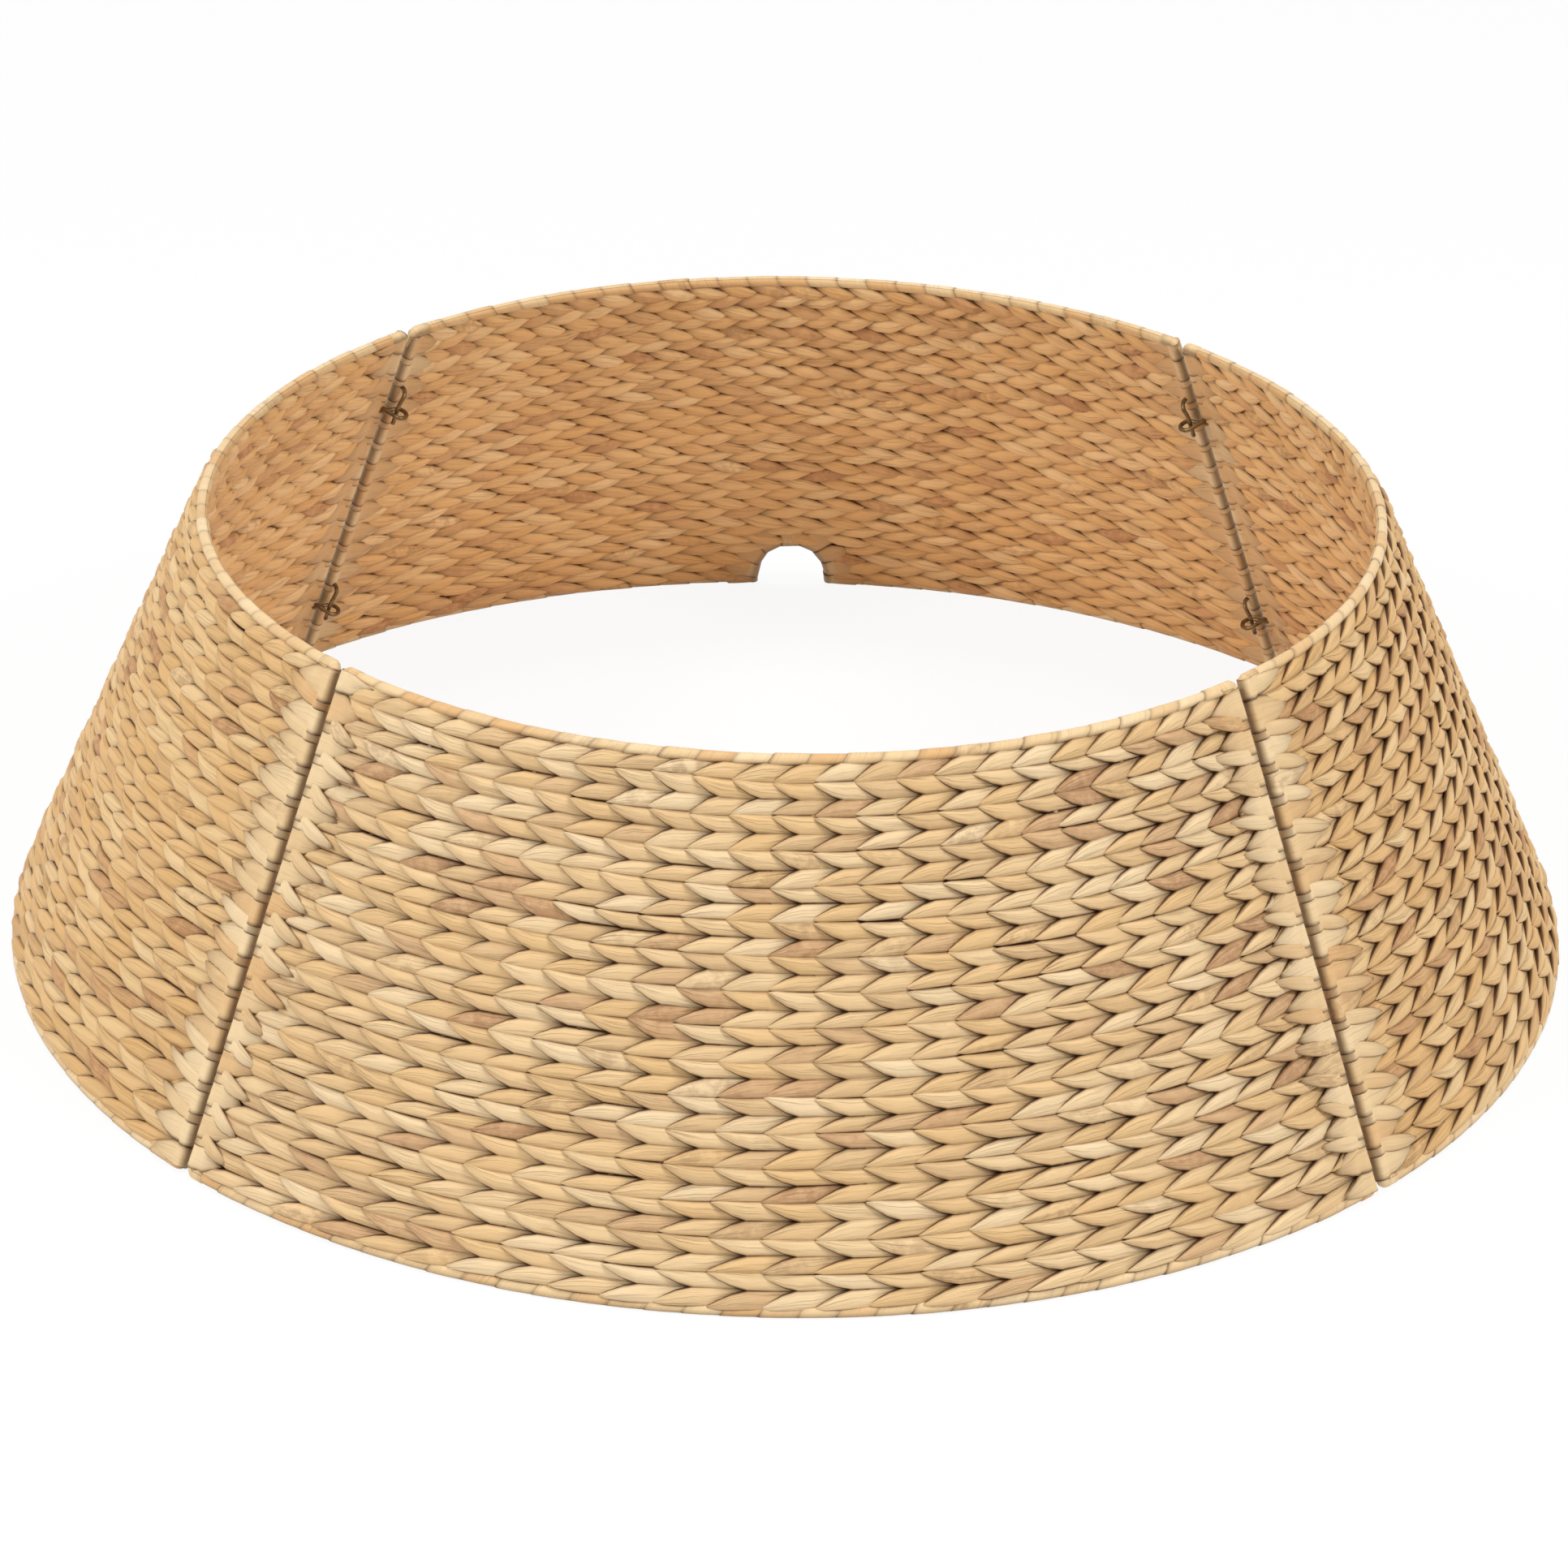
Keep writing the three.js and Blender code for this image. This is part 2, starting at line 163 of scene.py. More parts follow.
class TreeWriter:
    """Writes one node tree, for geometry or for a shader."""

    def __init__(self, tree: bpy.types.NodeTree) -> None:
        """Starts on a tree."""
        self.tree = tree

    @classmethod
    def fresh(cls, owner: Union[bpy.types.Material, bpy.types.World]) -> "TreeWriter":
        """Empties the shader tree of a material or world.

        Args:
            owner: The material or world.

        Returns:
            A writer on its tree.
        """
        owner.use_nodes = True
        owner.node_tree.nodes.clear()
        return cls(owner.node_tree)

    @classmethod
    def group(
        cls, name: str, kind: str, inputs: dict[str, Value], outputs: dict[str, str]
    ) -> "TreeWriter":
        """Makes a node group with named sockets.

        Args:
            name: Name of the group.
            kind: GeometryNodeTree or ShaderNodeTree.
            inputs: Starting value of each number, socket type of any other input.
            outputs: Socket type of each output.

        Returns:
            A writer on the new group.
        """
        writer = cls(bpy.data.node_groups.new(name, kind))
        for way, sockets in (("INPUT", inputs), ("OUTPUT", outputs)):
            for label, start in sockets.items():
                typed = isinstance(start, str)
                type_name = start if typed else type(start).__name__.title()
                socket = writer.tree.interface.new_socket(
                    name=label, in_out=way, socket_type="NodeSocket" + type_name
                )
                if not typed:
                    socket.default_value = start
        writer.entry = writer.tree.nodes.new("NodeGroupInput")
        writer.exit = writer.tree.nodes.new("NodeGroupOutput")
        return writer

    def __getitem__(self, name: str) -> Number:
        """Reads an input of the group."""
        return Number(self, self.entry.outputs[name])

    def __setitem__(self, name: str, value: Value) -> None:
        """Sets an output of the group."""
        self.feed(self.exit.inputs[name], value)

    def feed(self, socket: bpy.types.NodeSocket, value: Value) -> None:
        """Links a value to a socket, or sets it there.

        Args:
            socket: Input socket.
            value: Number to link, or a plain value.
        """
        if isinstance(value, Number):
            self.tree.links.new(value.socket, socket)
        else:
            socket.default_value = value

    def node(self, kind: str, inputs: Optional[dict] = None, **settings) -> bpy.types.Node:
        """Adds a node.

        Args:
            kind: Type name of the node.
            inputs: Values of its inputs, by name or by place.
            **settings: Properties of the node.

        Returns:
            The node.
        """
        made = self.tree.nodes.new(kind)
        for label, setting in settings.items():
            setattr(made, label, setting)
        for key, value in (inputs or {}).items():
            self.feed(made.inputs[key], value)
        return made

    def get(self, node: bpy.types.Node, output: Union[str, int] = 0) -> Number:
        """Reads an output of a node as a number."""
        return Number(self, node.outputs[output])

    def read(
        self, kind: str, inputs: Optional[dict] = None, output: Union[str, int] = 0, **settings
    ) -> Number:
        """Adds a node and reads one of its outputs."""
        return self.get(self.node(kind, inputs, **settings), output)

    def math(self, operation: str, *values: Value) -> Number:
        """Adds a Math node."""
        return self.read("ShaderNodeMath", dict(enumerate(values)), operation=operation)

    def vector(self, x: Value, y: Value, z: Value) -> Number:
        """Joins three values into a vector."""
        return self.read("ShaderNodeCombineXYZ", {0: x, 1: y, 2: z})

    def split(self, vector: Number) -> list[Number]:
        """Splits a vector into its three values."""
        parts = self.node("ShaderNodeSeparateXYZ", {0: vector})
        return [self.get(parts, i) for i in range(3)]

    def place(self, other: "TreeWriter", **values: Value) -> bpy.types.Node:
        """Places another group in this tree.

        Args:
            other: Writer of the group.
            **values: Values of its inputs.

        Returns:
            The group node.
        """
        kind = self.tree.bl_idname.replace("Tree", "Group")
        return self.node(kind, titled(values), node_tree=other.tree)

    def ranged(
        self, value: Number, low: float, high: float, smooth: bool = False, falling: bool = False
    ) -> Number:
        """Maps a range of a value to a share.

        Args:
            value: The value.
            low: Start of the range.
            high: End of the range.
            smooth: Whether the share eases in and out.
            falling: Whether it goes from 1 to 0, and not from 0 to 1.

        Returns:
            The share.
        """
        inputs = {"Value": value, "From Min": low, "From Max": high}
        inputs.update({"To Min": float(falling), "To Max": float(not falling)})
        way = "SMOOTHSTEP" if smooth else "LINEAR"
        return self.read("ShaderNodeMapRange", inputs, interpolation_type=way)

    def mix(self, share: Number, base: Value, colour: Colour) -> Number:
        """Mixes a plain colour into another by a share."""
        inputs = {0: share, 6: base, 7: linear(*colour)}
        return self.read("ShaderNodeMix", inputs, 2, data_type="RGBA")

    def surface(self, bump: float, depth: float, height: Number, sockets: dict) -> None:
        """Ends a material with a bumped shader.

        Args:
            bump: Strength of the bump.
            depth: Depth that a height of 1 stands for.
            height: Height of the surface.
            sockets: Values of the shader's inputs.
        """
        inputs = {"Strength": bump, "Distance": depth, "Height": height}
        normal = self.read("ShaderNodeBump", inputs)
        shader = self.read("ShaderNodeBsdfPrincipled", {**sockets, "Normal": normal})
        self.node("ShaderNodeOutputMaterial", {"Surface": shader})

    def backdrop(self, output: str, soft: Number, white: Number, share: float) -> None:
        """Ends a shader that looks white and lights softly.

        Args:
            output: Type name of the output node.
            soft: Shader for the rays that light other things.
            white: Shader for the rays that end in the picture.
            share: Share of white in what is seen.
        """
        rays = self.node("ShaderNodeLightPath")
        kinds = ("Camera", "Glossy", "Transmission")
        camera, glossy, through = (self.get(rays, f"Is {kind} Ray") for kind in kinds)
        seen = self.math("MAXIMUM", camera, self.math("MAXIMUM", glossy, through))
        both = self.read("ShaderNodeMixShader", {0: seen * share, 1: soft, 2: white})
        self.node(output, {"Surface": both})


# Sizes of the wall


@dataclass(frozen=True)
class Wall:
    """Slanted wall of the ring, with the sizes of the CAD frame."""

    base_outer_radius: float = 406 * MM
    top_outer_radius: float = 300 * MM
    height: float = 234 * MM
    thickness: float = 9 * MM
    rim_wire_height: float = 2.598 * MM
    edge_wire_offset: float = 5 * MM

    @property
    def lean(self) -> float:
        """Angle of the wall from upright."""
        return math.atan2(self.base_outer_radius - self.top_outer_radius, self.height)

    @property
    def base_radius(self) -> float:
        """Radius of the middle of the wall at the floor."""
        return self.base_outer_radius - self.thickness / 2 / math.cos(self.lean)

    @property
    def slope_length(self) -> float:
        """Length of the wall along its slope."""
        return self.height / math.cos(self.lean)

    @property
    def rim_down(self) -> float:
        """Way down the slope to the middle of the top wire."""
        return self.rim_wire_height / math.cos(self.lean)

    def radius(self, down: float) -> float:
        """Radius of the middle of the wall at a way down its slope."""
        drop = self.height - down * math.cos(self.lean)
        return self.base_radius - drop * math.tan(self.lean)

    def point(
        self, facing: float, fraction: float, margin: float, down: float, out: float = 0.0
    ) -> Vector:
        """Finds a point on a panel.

        Args:
            facing: Angle that the panel faces.
            fraction: Place between its left edge, 0, and its right edge, 1.
            margin: Distance from the seam at either edge.
            down: Way down the slope from the top.
            out: Distance outwards from the middle of the wall.

        Returns:
            The point.
        """
        radius = self.radius(down)
        angle = facing + (fraction - 0.5) * (QUARTER - 2 * margin / radius)
        reach = radius + out * math.cos(self.lean)
        rise = self.height - down * math.cos(self.lean) + out * math.sin(self.lean)
        return Vector((reach * math.cos(angle), reach * math.sin(angle), max(rise, 0.0)))


@dataclass(frozen=True)
class Weave:
    """Counts and pitches of the twined strips."""

    rows: int = 31
    columns: int = 24
    overhang: float = 0.76
    top_margin: float = 4.352 * MM
    side_margin: float = 8.6 * MM
    crest: float = 5.6 * MM

    def row_pitch(self, wall: Wall) -> float:
        """Height of one row along the slope."""
        return (wall.slope_length - 2 * self.top_margin) / self.rows


@dataclass(frozen=True)
class Notch:
    """Bound opening for the cable of the lights, low in the back panel."""

    half_width: float = 23 * MM
    rise: float = 36 * MM
    foot: float = 3 * MM
    roundness: float = 2.4

    def outline(self, share: float) -> tuple[float, float]:
        """Finds a point of the arch.

        Args:
            share: Way round the arch from its left foot, 0 to 1.

        Returns:
            Distance to the right and distance up the slope from the floor.
        """
        turn = math.pi * (1 - share)
        power = 2 / self.roundness
        across = math.copysign(abs(math.cos(turn)) ** power, math.cos(turn))
        rise = (self.rise + self.foot) * math.sin(turn) ** power - self.foot
        return self.half_width * across, rise

    def share(self, sideways: float, climb: float, growth: float = 0.0) -> float:
        """Compares a place with the arch.

        Args:
            sideways: Distance to the left or right.
            climb: Distance up the slope from the floor.
            growth: Distance that the arch is widened by.

        Returns:
            Less than 1 inside the arch, more outside it.
        """
        reach = (abs(sideways) / (self.half_width + growth)) ** self.roundness
        return reach + (climb / (self.rise + growth)) ** self.roundness


WALL = Wall()
WEAVE = Weave()
NOTCH = Notch()
ROW_SIZES = {
    "top_margin": WEAVE.top_margin,
    "side_margin": WEAVE.side_margin,
    "row_pitch": WEAVE.row_pitch(WALL),
}
UPRIGHT = {"slanted": 0.0, "variation": 0.0}


# Finishes


def fibre_group() -> TreeWriter:
    """Builds the shader group for the fibres that run along a strip.

    Returns:
        Writer of the group: Lines is 1 in a dark fibre, Relief is its height.
    """
    tree = TreeWriter.group(
        "strip fibres",
        "ShaderNodeTree",
        {"Along": 0.0, "Across": 0.0, "Shift": 0.0},
        {"Lines": "Float", "Relief": "Float", "Blotch": "Float"},
    )

    apart = 43.0

    def streaks(along_rate: float, across_rate: float, detail: float, offset: float) -> Number:
        """Adds noise that is drawn out along the strip."""
        along, across = tree["Along"] * along_rate, tree["Across"] * across_rate
        place = tree.vector(along, across, tree["Shift"] * apart + offset)
        inputs = {"Vector": place, "Scale": 1.0, "Detail": detail, "Roughness": 0.6}
        return tree.read("ShaderNodeTexNoise", inputs)

    fine_streaks = streaks(30.0, 2700.0, 1.0, 0.0)
    tree["Lines"] = tree.ranged(fine_streaks, 0.54, 0.78, smooth=True)
    fold_share = 0.75
    folds = streaks(45.0, 420.0, 2.0, 7.0)
    tree["Relief"] = folds * fold_share + fine_streaks * (1 - fold_share)
    tree["Blotch"] = streaks(160.0, 260.0, 3.0, 19.0)
    return tree


@dataclass(frozen=True)
class StripFinish:
    """Dried strip: its colours, from pale to brown, and its sheen, with painted shade in its
    creases, at its tucked tips, on the seam side of wound rods and on the inner face.
    """

    name: str
    slot: str
    tones: tuple[tuple[float, Colour], ...]
    # Colour of the dark fibre lines, and also the colour of the painted shade in creases, at tucked
    # tips and on the seam side.
    line_colour: Colour = (82, 44, 12)
    stain_colour: Colour = (139, 98, 66)
    stain_share: float = 0.4
    blotch_share: float = 0.16
    roughness: float = 0.56
    specular: float = 0.35
    line_share: float = 0.2
    worn_line_share: float = 0.3
    middle_lines: float = 0.35
    line_roughness: float = 0.25
    line_depth: float = 0.35
    # Painted shade: edge_shade and rim_power darken a strip towards its long edges, where it meets
    # its neighbours in creases; tip_shade and tip_power darken its tucked end, and start_shade its
    # start as well; middle_shade darkens the middle of a wound strip, which faces the seam;
    # darkest_shade caps it all.
    edge_shade: float = 2.2
    rim_power: float = 8.0
    tip_shade: float = 1.2
    tip_power: float = 3.0
    start_shade: float = 0.0
    middle_shade: float = 0.0
    darkest_shade: float = 0.92
    # Painted shade: share by which the part of a strip past 1.05 half lengths, which on a wound
    # strip lies on the inner face, moves towards the brown end of its tones.
    inner_tone: float = 0.0
    half_width: float = 4.2 * MM
    half_length: float = 19.4 * MM
    bump: float = 0.9

    def build(self, fibres: TreeWriter) -> bpy.types.Material:
        """Makes the material.

        Args:
            fibres: The shader group for fibres.

        Returns:
            The material.
        """
        material = bpy.data.materials.new(self.name)
        tree = TreeWriter.fresh(material)
        along, across, _ = tree.split(tree.read("ShaderNodeUVMap", uv_map=UV_NAME))
        tone, wear = (
            tree.read("ShaderNodeAttribute", output="Fac", attribute_name=name)
            for name in (TONE, WEAR)
        )
        grain = tree.place(fibres, along=along, across=across, shift=tone + wear * 3.0)
        lines, relief, blotch = (tree.get(grain, name) for name in ("Lines", "Relief", "Blotch"))

        way = along * (1 / self.half_length)
        inside = tree.ranged(way, 1.05, 1.3)
        # Past 1.05 half lengths a wound strip lies on the inner face; there its tone moves towards
        # brown as painted shade.
        shade = tone + (blotch - 0.5) * self.blotch_share + inside * self.inner_tone
        ramp = tree.node("ShaderNodeValToRGB", {"Fac": shade})
        steps = ramp.color_ramp.elements
        for position, _ in self.tones[2:]:
            steps.new(position)
        for step, (position, colour) in zip(steps, self.tones):
            step.position = position
            step.color = linear(*colour)
        stain = tree.ranged(wear, 0.9, 1.0) * tree.ranged(blotch, 0.42, 0.6)
        stained = tree.mix(stain * self.stain_share, tree.get(ramp), self.stain_colour)

        from_middle = tree.math("MINIMUM", tree.math("ABSOLUTE", way - 1.0), 1.0)
        gathered = lines * (wear * self.worn_line_share + self.line_share)
        gathered = gathered * (from_middle + self.middle_lines)
        lined = tree.mix(gathered, stained, self.line_colour)

        # Painted shade, mixed in with the line colour: darker towards the long edges of a strip,
        # where the creases between strips lie, at its tucked end, and in the middle of a wound
        # strip, which faces the seam.
        rim = tree.math("ABSOLUTE", across * (1 / self.half_width)) ** self.rim_power
        tucked = tree.math("MAXIMUM", way - 1.0, (way - 1.0) * -self.start_shade)
        tip = tree.math("MINIMUM", tucked, 1.0) ** self.tip_power
        turned = tree.ranged(from_middle, 0.03, 0.17, smooth=True, falling=True)
        edge = rim * self.edge_shade + tip * self.tip_shade + turned * self.middle_shade
        edge = tree.math("MINIMUM", edge, self.darkest_shade)
        sockets = {
            "Base Color": tree.mix(edge, lined, self.line_colour),
            "Roughness": lines * self.line_roughness + self.roughness,
            "Specular IOR Level": self.specular,
        }
        tree.surface(self.bump, 1.0 * MM, relief - lines * self.line_depth, sockets)
        return material

    def tinted(self, name: str, tint: tuple[float, float, float]) -> "StripFinish":
        """Copies the finish with its tones tinted.

        Args:
            name: Name of the copy.
            tint: Factor on red, green and blue.

        Returns:
            The copy.
        """
        tones = tuple(
            (place, tuple(min(round(part * share), 255) for part, share in zip(colour, tint)))
            for place, colour in self.tones
        )
        return replace(self, name=name, tones=tones)


@dataclass(frozen=True)
class WireFinish:
    """Lacquered wire: its colour, with dull spots where the lacquer is thin."""

    name: str
    slot: str
    colour: Colour
    worn_colour: Colour
    metallic: float = 0.75
    roughness: float = 0.38
    worn_roughness: float = 0.22

    def build(self) -> bpy.types.Material:
        """Makes the material.

        Returns:
            The material.
        """
        material = bpy.data.materials.new(self.name)
        tree = TreeWriter.fresh(material)
        place = tree.read("ShaderNodeTexCoord", output="Object")
        noise = tree.read("ShaderNodeTexNoise", {"Vector": place, "Scale": 420.0, "Detail": 4.0})
        spots = tree.ranged(noise, 0.48, 0.66)
        sockets = {
            "Base Color": tree.mix(spots, linear(*self.colour), self.worn_colour),
            "Metallic": self.metallic,
            "Roughness": spots * self.worn_roughness + self.roughness,
        }
        tree.surface(0.2, 0.1 * MM, noise, sockets)
        return material


@dataclass(frozen=True)
class FloorFinish:
    """Plain white floor that keeps the collar's soft shadow."""

    name: str = "pale floor"
    colour: tuple[float, ...] = (0.96, 0.96, 0.96, 1.0)
    white_share: float = 0.9

    def build(self) -> bpy.types.Material:
        """Makes the material.

        Returns:
            The material.
        """
        material = bpy.data.materials.new(self.name)
        tree = TreeWriter.fresh(material)
        plain = tree.read("ShaderNodeBsdfDiffuse", {"Color": self.colour})
        white = tree.read("ShaderNodeEmission", {"Color": WHITE, "Strength": 1.0})
        tree.backdrop("ShaderNodeOutputMaterial", plain, white, self.white_share)
        return material


WEAVE_STRIP = StripFinish(
    name="hyacinth strip",
    slot="hyacinth_weave",
    tones=(
        (0.0, (237, 209, 166)),
        (0.2, (233, 201, 153)),
        (0.45, (229, 193, 142)),
        (0.68, (225, 186, 131)),
        (0.85, (219, 184, 136)),
        (0.93, (213, 174, 128)),
        (0.98, (203, 161, 117)),
        (1.0, (188, 145, 103)),
    ),
)
# Copies of the weave colours with painted shade: warmer and a little darker on the outer faces of
# the back and side panels, and warmer on the inner faces, for the warm shade inside the ring.
SIDE_SHADE_STRIP = WEAVE_STRIP.tinted("golden hyacinth strip", (0.98, 0.945, 0.885))
INNER_SHADE_STRIP = WEAVE_STRIP.tinted("inner hyacinth strip", (1.04, 0.975, 0.89))
BINDING_STRIP = StripFinish(
    name="hyacinth binding",
    slot="hyacinth_binding",
    tones=(
        (0.0, (239, 211, 166)),
        (0.5, (232, 200, 151)),
        (0.8, (227, 192, 142)),
        (1.0, (222, 176, 120)),
    ),
    roughness=0.46,
    line_share=0.24,
    edge_shade=0.7,
    tip_shade=0.6,
    start_shade=1.0,
    # Painted shade: brown on the middle of a wound strip, the side of a rod that faces the seam,
    # and a shift towards brown on the inner face.
    middle_shade=0.5,
    inner_tone=0.7,
    half_width=7.5 * MM,
    half_length=28.5 * MM,
    bump=0.4,
)
STAKE_STRIP = StripFinish(
    name="hyacinth stake",
    slot="hyacinth_weave",
    tones=((0.0, (214, 190, 150)), (1.0, (186, 150, 104))),
    edge_shade=0.2,
)
# Dark brown colours of the sheet behind the gaps between strips, painted shade for those gaps.
SHADE_CORE_STRIP = StripFinish(
    name="shaded weave core",
    slot="hyacinth_weave",
    tones=((0.0, (92, 60, 32)), (1.0, (74, 46, 24))),
    line_colour=(66, 42, 24),
    stain_colour=(70, 46, 26),
    roughness=0.8,
)
STRIPS = (WEAVE_STRIP, SIDE_SHADE_STRIP, INNER_SHADE_STRIP, BINDING_STRIP, STAKE_STRIP, SHADE_CORE_STRIP)
CLOSURE_WIRE = WireFinish("bronze closure wire", "closure_wire", (128, 100, 62), (92, 70, 44))
FRAME_WIRE = WireFinish("dark frame wire", "frame_wire", (74, 68, 58), (104, 92, 74))


# Shapes


def ring_mesh(name: str, rings: Sequence[Ring]) -> bpy.types.Mesh:
    """Skins closed rings into one body.

    Args:
        name: Name of the mesh.
        rings: Points of each ring with their places along and across the strip. The
            first and the last ring may be one point.

    Returns:
        The closed mesh, with its strip map.
    """
    build = bmesh.new()
    layer = build.loops.layers.uv.new(UV_NAME)
    rows = [[build.verts.new(point) for point, _ in ring] for ring in rings]
    places = {vert: place for row, ring in zip(rows, rings) for vert, (_, place) in zip(row, ring)}
    for first, second in zip(rows, rows[1:]):
        count = max(len(first), len(second))
        for i in range(count):
            j = (i + 1) % count
            corners = [first[i % len(first)], first[j % len(first)]]
            corners += [second[j % len(second)], second[i % len(second)]]
            build.faces.new(list(dict.fromkeys(corners)))
    for end in (rows[0], rows[-1]):
        if len(end) > 2:
            build.faces.new(end)
    for made in build.faces:
        made.smooth = True
        for loop in made.loops:
            loop[layer].uv = places[loop.vert]
    bmesh.ops.recalc_face_normals(build, faces=build.faces)
    mesh = bpy.data.meshes.new(name)
    build.to_mesh(mesh)
    build.free()
    return mesh


@dataclass(frozen=True)
class StripShape:
    """Visible part of a strip between two stakes, which slants down to the right.

    Lengths are in stake pitches, heights in row pitches.
    """

    length: float = 1.76
    shoulder: float = 1.0
    belly: float = 0.06
    tip_drop: float = 0.14
    tip_run: float = 0.26
    tip_power: float = 1.6
    fall_power: float = 1.5
    overlap: float = 0.02
    row_shift: float = 0.0
    tucked_start: bool = False
    stations: int = 9
    ridge: Profile = (
        (0.0, 0.5), (0.14, 0.84), (0.3, 1.0), (0.45, 0.86), (0.57, 0.6), (0.75, 0.36), (1.0, 0.14)
    )
    brim: Profile = (
        (0.0, 0.44), (0.14, 0.46), (0.3, 0.38), (0.45, 0.24), (0.57, 0.15), (0.75, 0.1), (1.0, 0.1)
    )
    roundness: float = 0.6
    front_shares: tuple[float, ...] = (-1.0, -0.78, -0.3, 0.3, 0.78, 1.0)
    back_shares: tuple[float, ...] = (0.6, -0.6)
    back_height: float = 0.4

    @property
    def overhang(self) -> float:
        """Length of a row past its columns."""
        return self.length - 1 + self.row_shift

    def upper(self, x: float) -> float:
        """Finds the height of the upper edge.

        Args:
            x: Place along the strip.

        Returns:
            The height.
        """
        top, tip = 1 + self.belly, 1 + self.belly - self.tip_drop
        if x < self.tip_run:
            return top - self.tip_drop * (1 - x / self.tip_run) ** self.tip_power
        if x < self.shoulder:
            return top
        fall = (x - self.shoulder) / (self.length - self.shoulder)
        return top - (top - 1 + tip) * fall**self.fall_power

    def height(self, profile: Profile, x: float) -> float:
        """Reads a profile, in metres, at a place along the strip.

        Args:
            profile: Shares of the length with shares of the full crest.
            x: Place along the strip.

        Returns:
            The height.
        """
        share = 1 - x / self.length if self.tucked_start else x / self.length
        for (start, low), (end, high) in zip(profile, profile[1:]):
            if share <= end:
                return WEAVE.crest * (low + (high - low) * (share - start) / (end - start))
        return WEAVE.crest * profile[-1][1]

    def mesh(self) -> bpy.types.Mesh:
        """Builds the strip, flat side at the middle of the wall.

        Returns:
            The mesh.
        """
        rings = []
        for k in range(self.stations + 1):
            x = self.length * (1 - math.cos(math.pi * k / self.stations)) / 2
            low, high = 1 - self.upper(self.length - x), self.upper(x)
            along = 2 * WEAVE_STRIP.half_length * x / self.length
            if self.tucked_start:
                along = 2 * WEAVE_STRIP.half_length - along
            middle, half = (low + high) / 2 - 0.5, (high - low) / 2 + self.overlap
            ridge, brim = self.height(self.ridge, x), self.height(self.brim, x)
            if k in (0, self.stations):
                rings.append([((x, middle, brim), (along, 0.0))])
                continue
            section = [
                (share, brim + (ridge - brim) * (1 - share**2) ** self.roundness)
                for share in self.front_shares
            ]
            section += [(share, brim * self.back_height) for share in self.back_shares]
            rings.append([
                ((x, middle + half * share, z), (along, share * WEAVE_STRIP.half_width))
                for share, z in section
            ])
        return ring_mesh("strip", rings)


STRIP_SHAPES = {
    Face.OUTER: StripShape(),
    Face.INNER: StripShape(
        length=1.5,
        shoulder=0.8,
        belly=0.24,
        tip_drop=0.44,
        tip_run=0.4,
        fall_power=1.3,
        row_shift=0.5,
        tucked_start=True,
        ridge=((0.0, 0.4), (0.2, 0.86), (0.4, 1.0), (0.6, 0.84), (0.8, 0.56), (1.0, 0.24)),
        brim=((0.0, 0.32), (0.2, 0.32), (0.4, 0.24), (0.6, 0.16), (1.0, 0.1)),
    ),
}


@dataclass(frozen=True)
class EdgeWrapShape:
    """Strip turned round an edge wire, whose ends fan out on both faces.

    The flat frame is the distance from the seam, the way up the slope and outwards.
    A fan's route gives millimetres from the seam and outwards, and the share of width.
    """

    rise: float = 8.4 * MM
    drop: float = 8.0 * MM
    wire_offset: float = WALL.edge_wire_offset
    roll_radius: float = 3.65 * MM
    roll_depth: float = 3.9 * MM
    joint_step: float = 0.25 * MM
    crown: float = 1.6 * MM
    inner_lift: float = 0.9
    strip_thickness: float = 0.9 * MM
    fan_route: tuple[tuple[float, float, float], ...] = (
        (27.0, 3.0, 0.0), (21.5, 4.8, 0.4), (16.5, 5.1, 0.72), (12.5, 4.4, 0.92), (9.3, 3.2, 1.0)
    )
    roll_turns: tuple[float, ...] = (-25, 5, 35, 65, 90, 115, 145, 175, 205)
    front_shares: tuple[float, ...] = (-1.0, -0.75, -0.4, 0.0, 0.4, 0.75, 1.0)
    back_shares: tuple[float, ...] = (0.7, -0.7)

    def stations(self) -> list[tuple[Vector, Vector, float]]:
        """Lists the route of the strip from one tip to the other.

        Returns:
            Place and outward direction across the wall, and the share of full width.
        """
        front, behind = Vector((0.0, 1.0)), Vector((0.0, -1.0))
        fan = [(Vector((x * MM, n * MM)), front, width) for x, n, width in self.fan_route]
        roll = []
        for degrees in self.roll_turns:
            turn = math.radians(degrees)
            out = Vector((-math.sin(turn), math.cos(turn)))
            reach = Vector((out.x * self.roll_radius, out.y * self.roll_depth))
            roll.append((Vector((self.wire_offset, 0.0)) + reach, out, 1.0))
        back = [(Vector((p.x, -p.y * self.inner_lift)), behind, width) for p, _, width in fan]
        return fan + roll + back[::-1]

    def mesh(self) -> bpy.types.Mesh:
        """Builds the strip as one closed body.

        Returns:
            The mesh.
        """
        rings, along = [], 0.0
        route = self.stations()
        for i, (place, out, width) in enumerate(route):
            along += (place - route[i - 1][0]).length if i else 0.0
            if width == 0.0:
                rings.append([((place.x, 0.0, place.y), (along, 0.0))])
                continue
            crown = self.crown if out.x == 0.0 else 0.0
            section = [
                (share, self.joint_step * share + crown * share**2) for share in self.front_shares
            ]
            section += [(share, self.strip_thickness + crown) for share in self.back_shares]
            ring = []
            for share, depth in section:
                spot = place - out * depth
                reach = self.rise if share > 0 else self.drop
                uv = (along, share * BINDING_STRIP.half_width)
                ring.append(((spot.x, share * reach * width, spot.y), uv))
            rings.append(ring)
        return ring_mesh("edge wrap", rings)


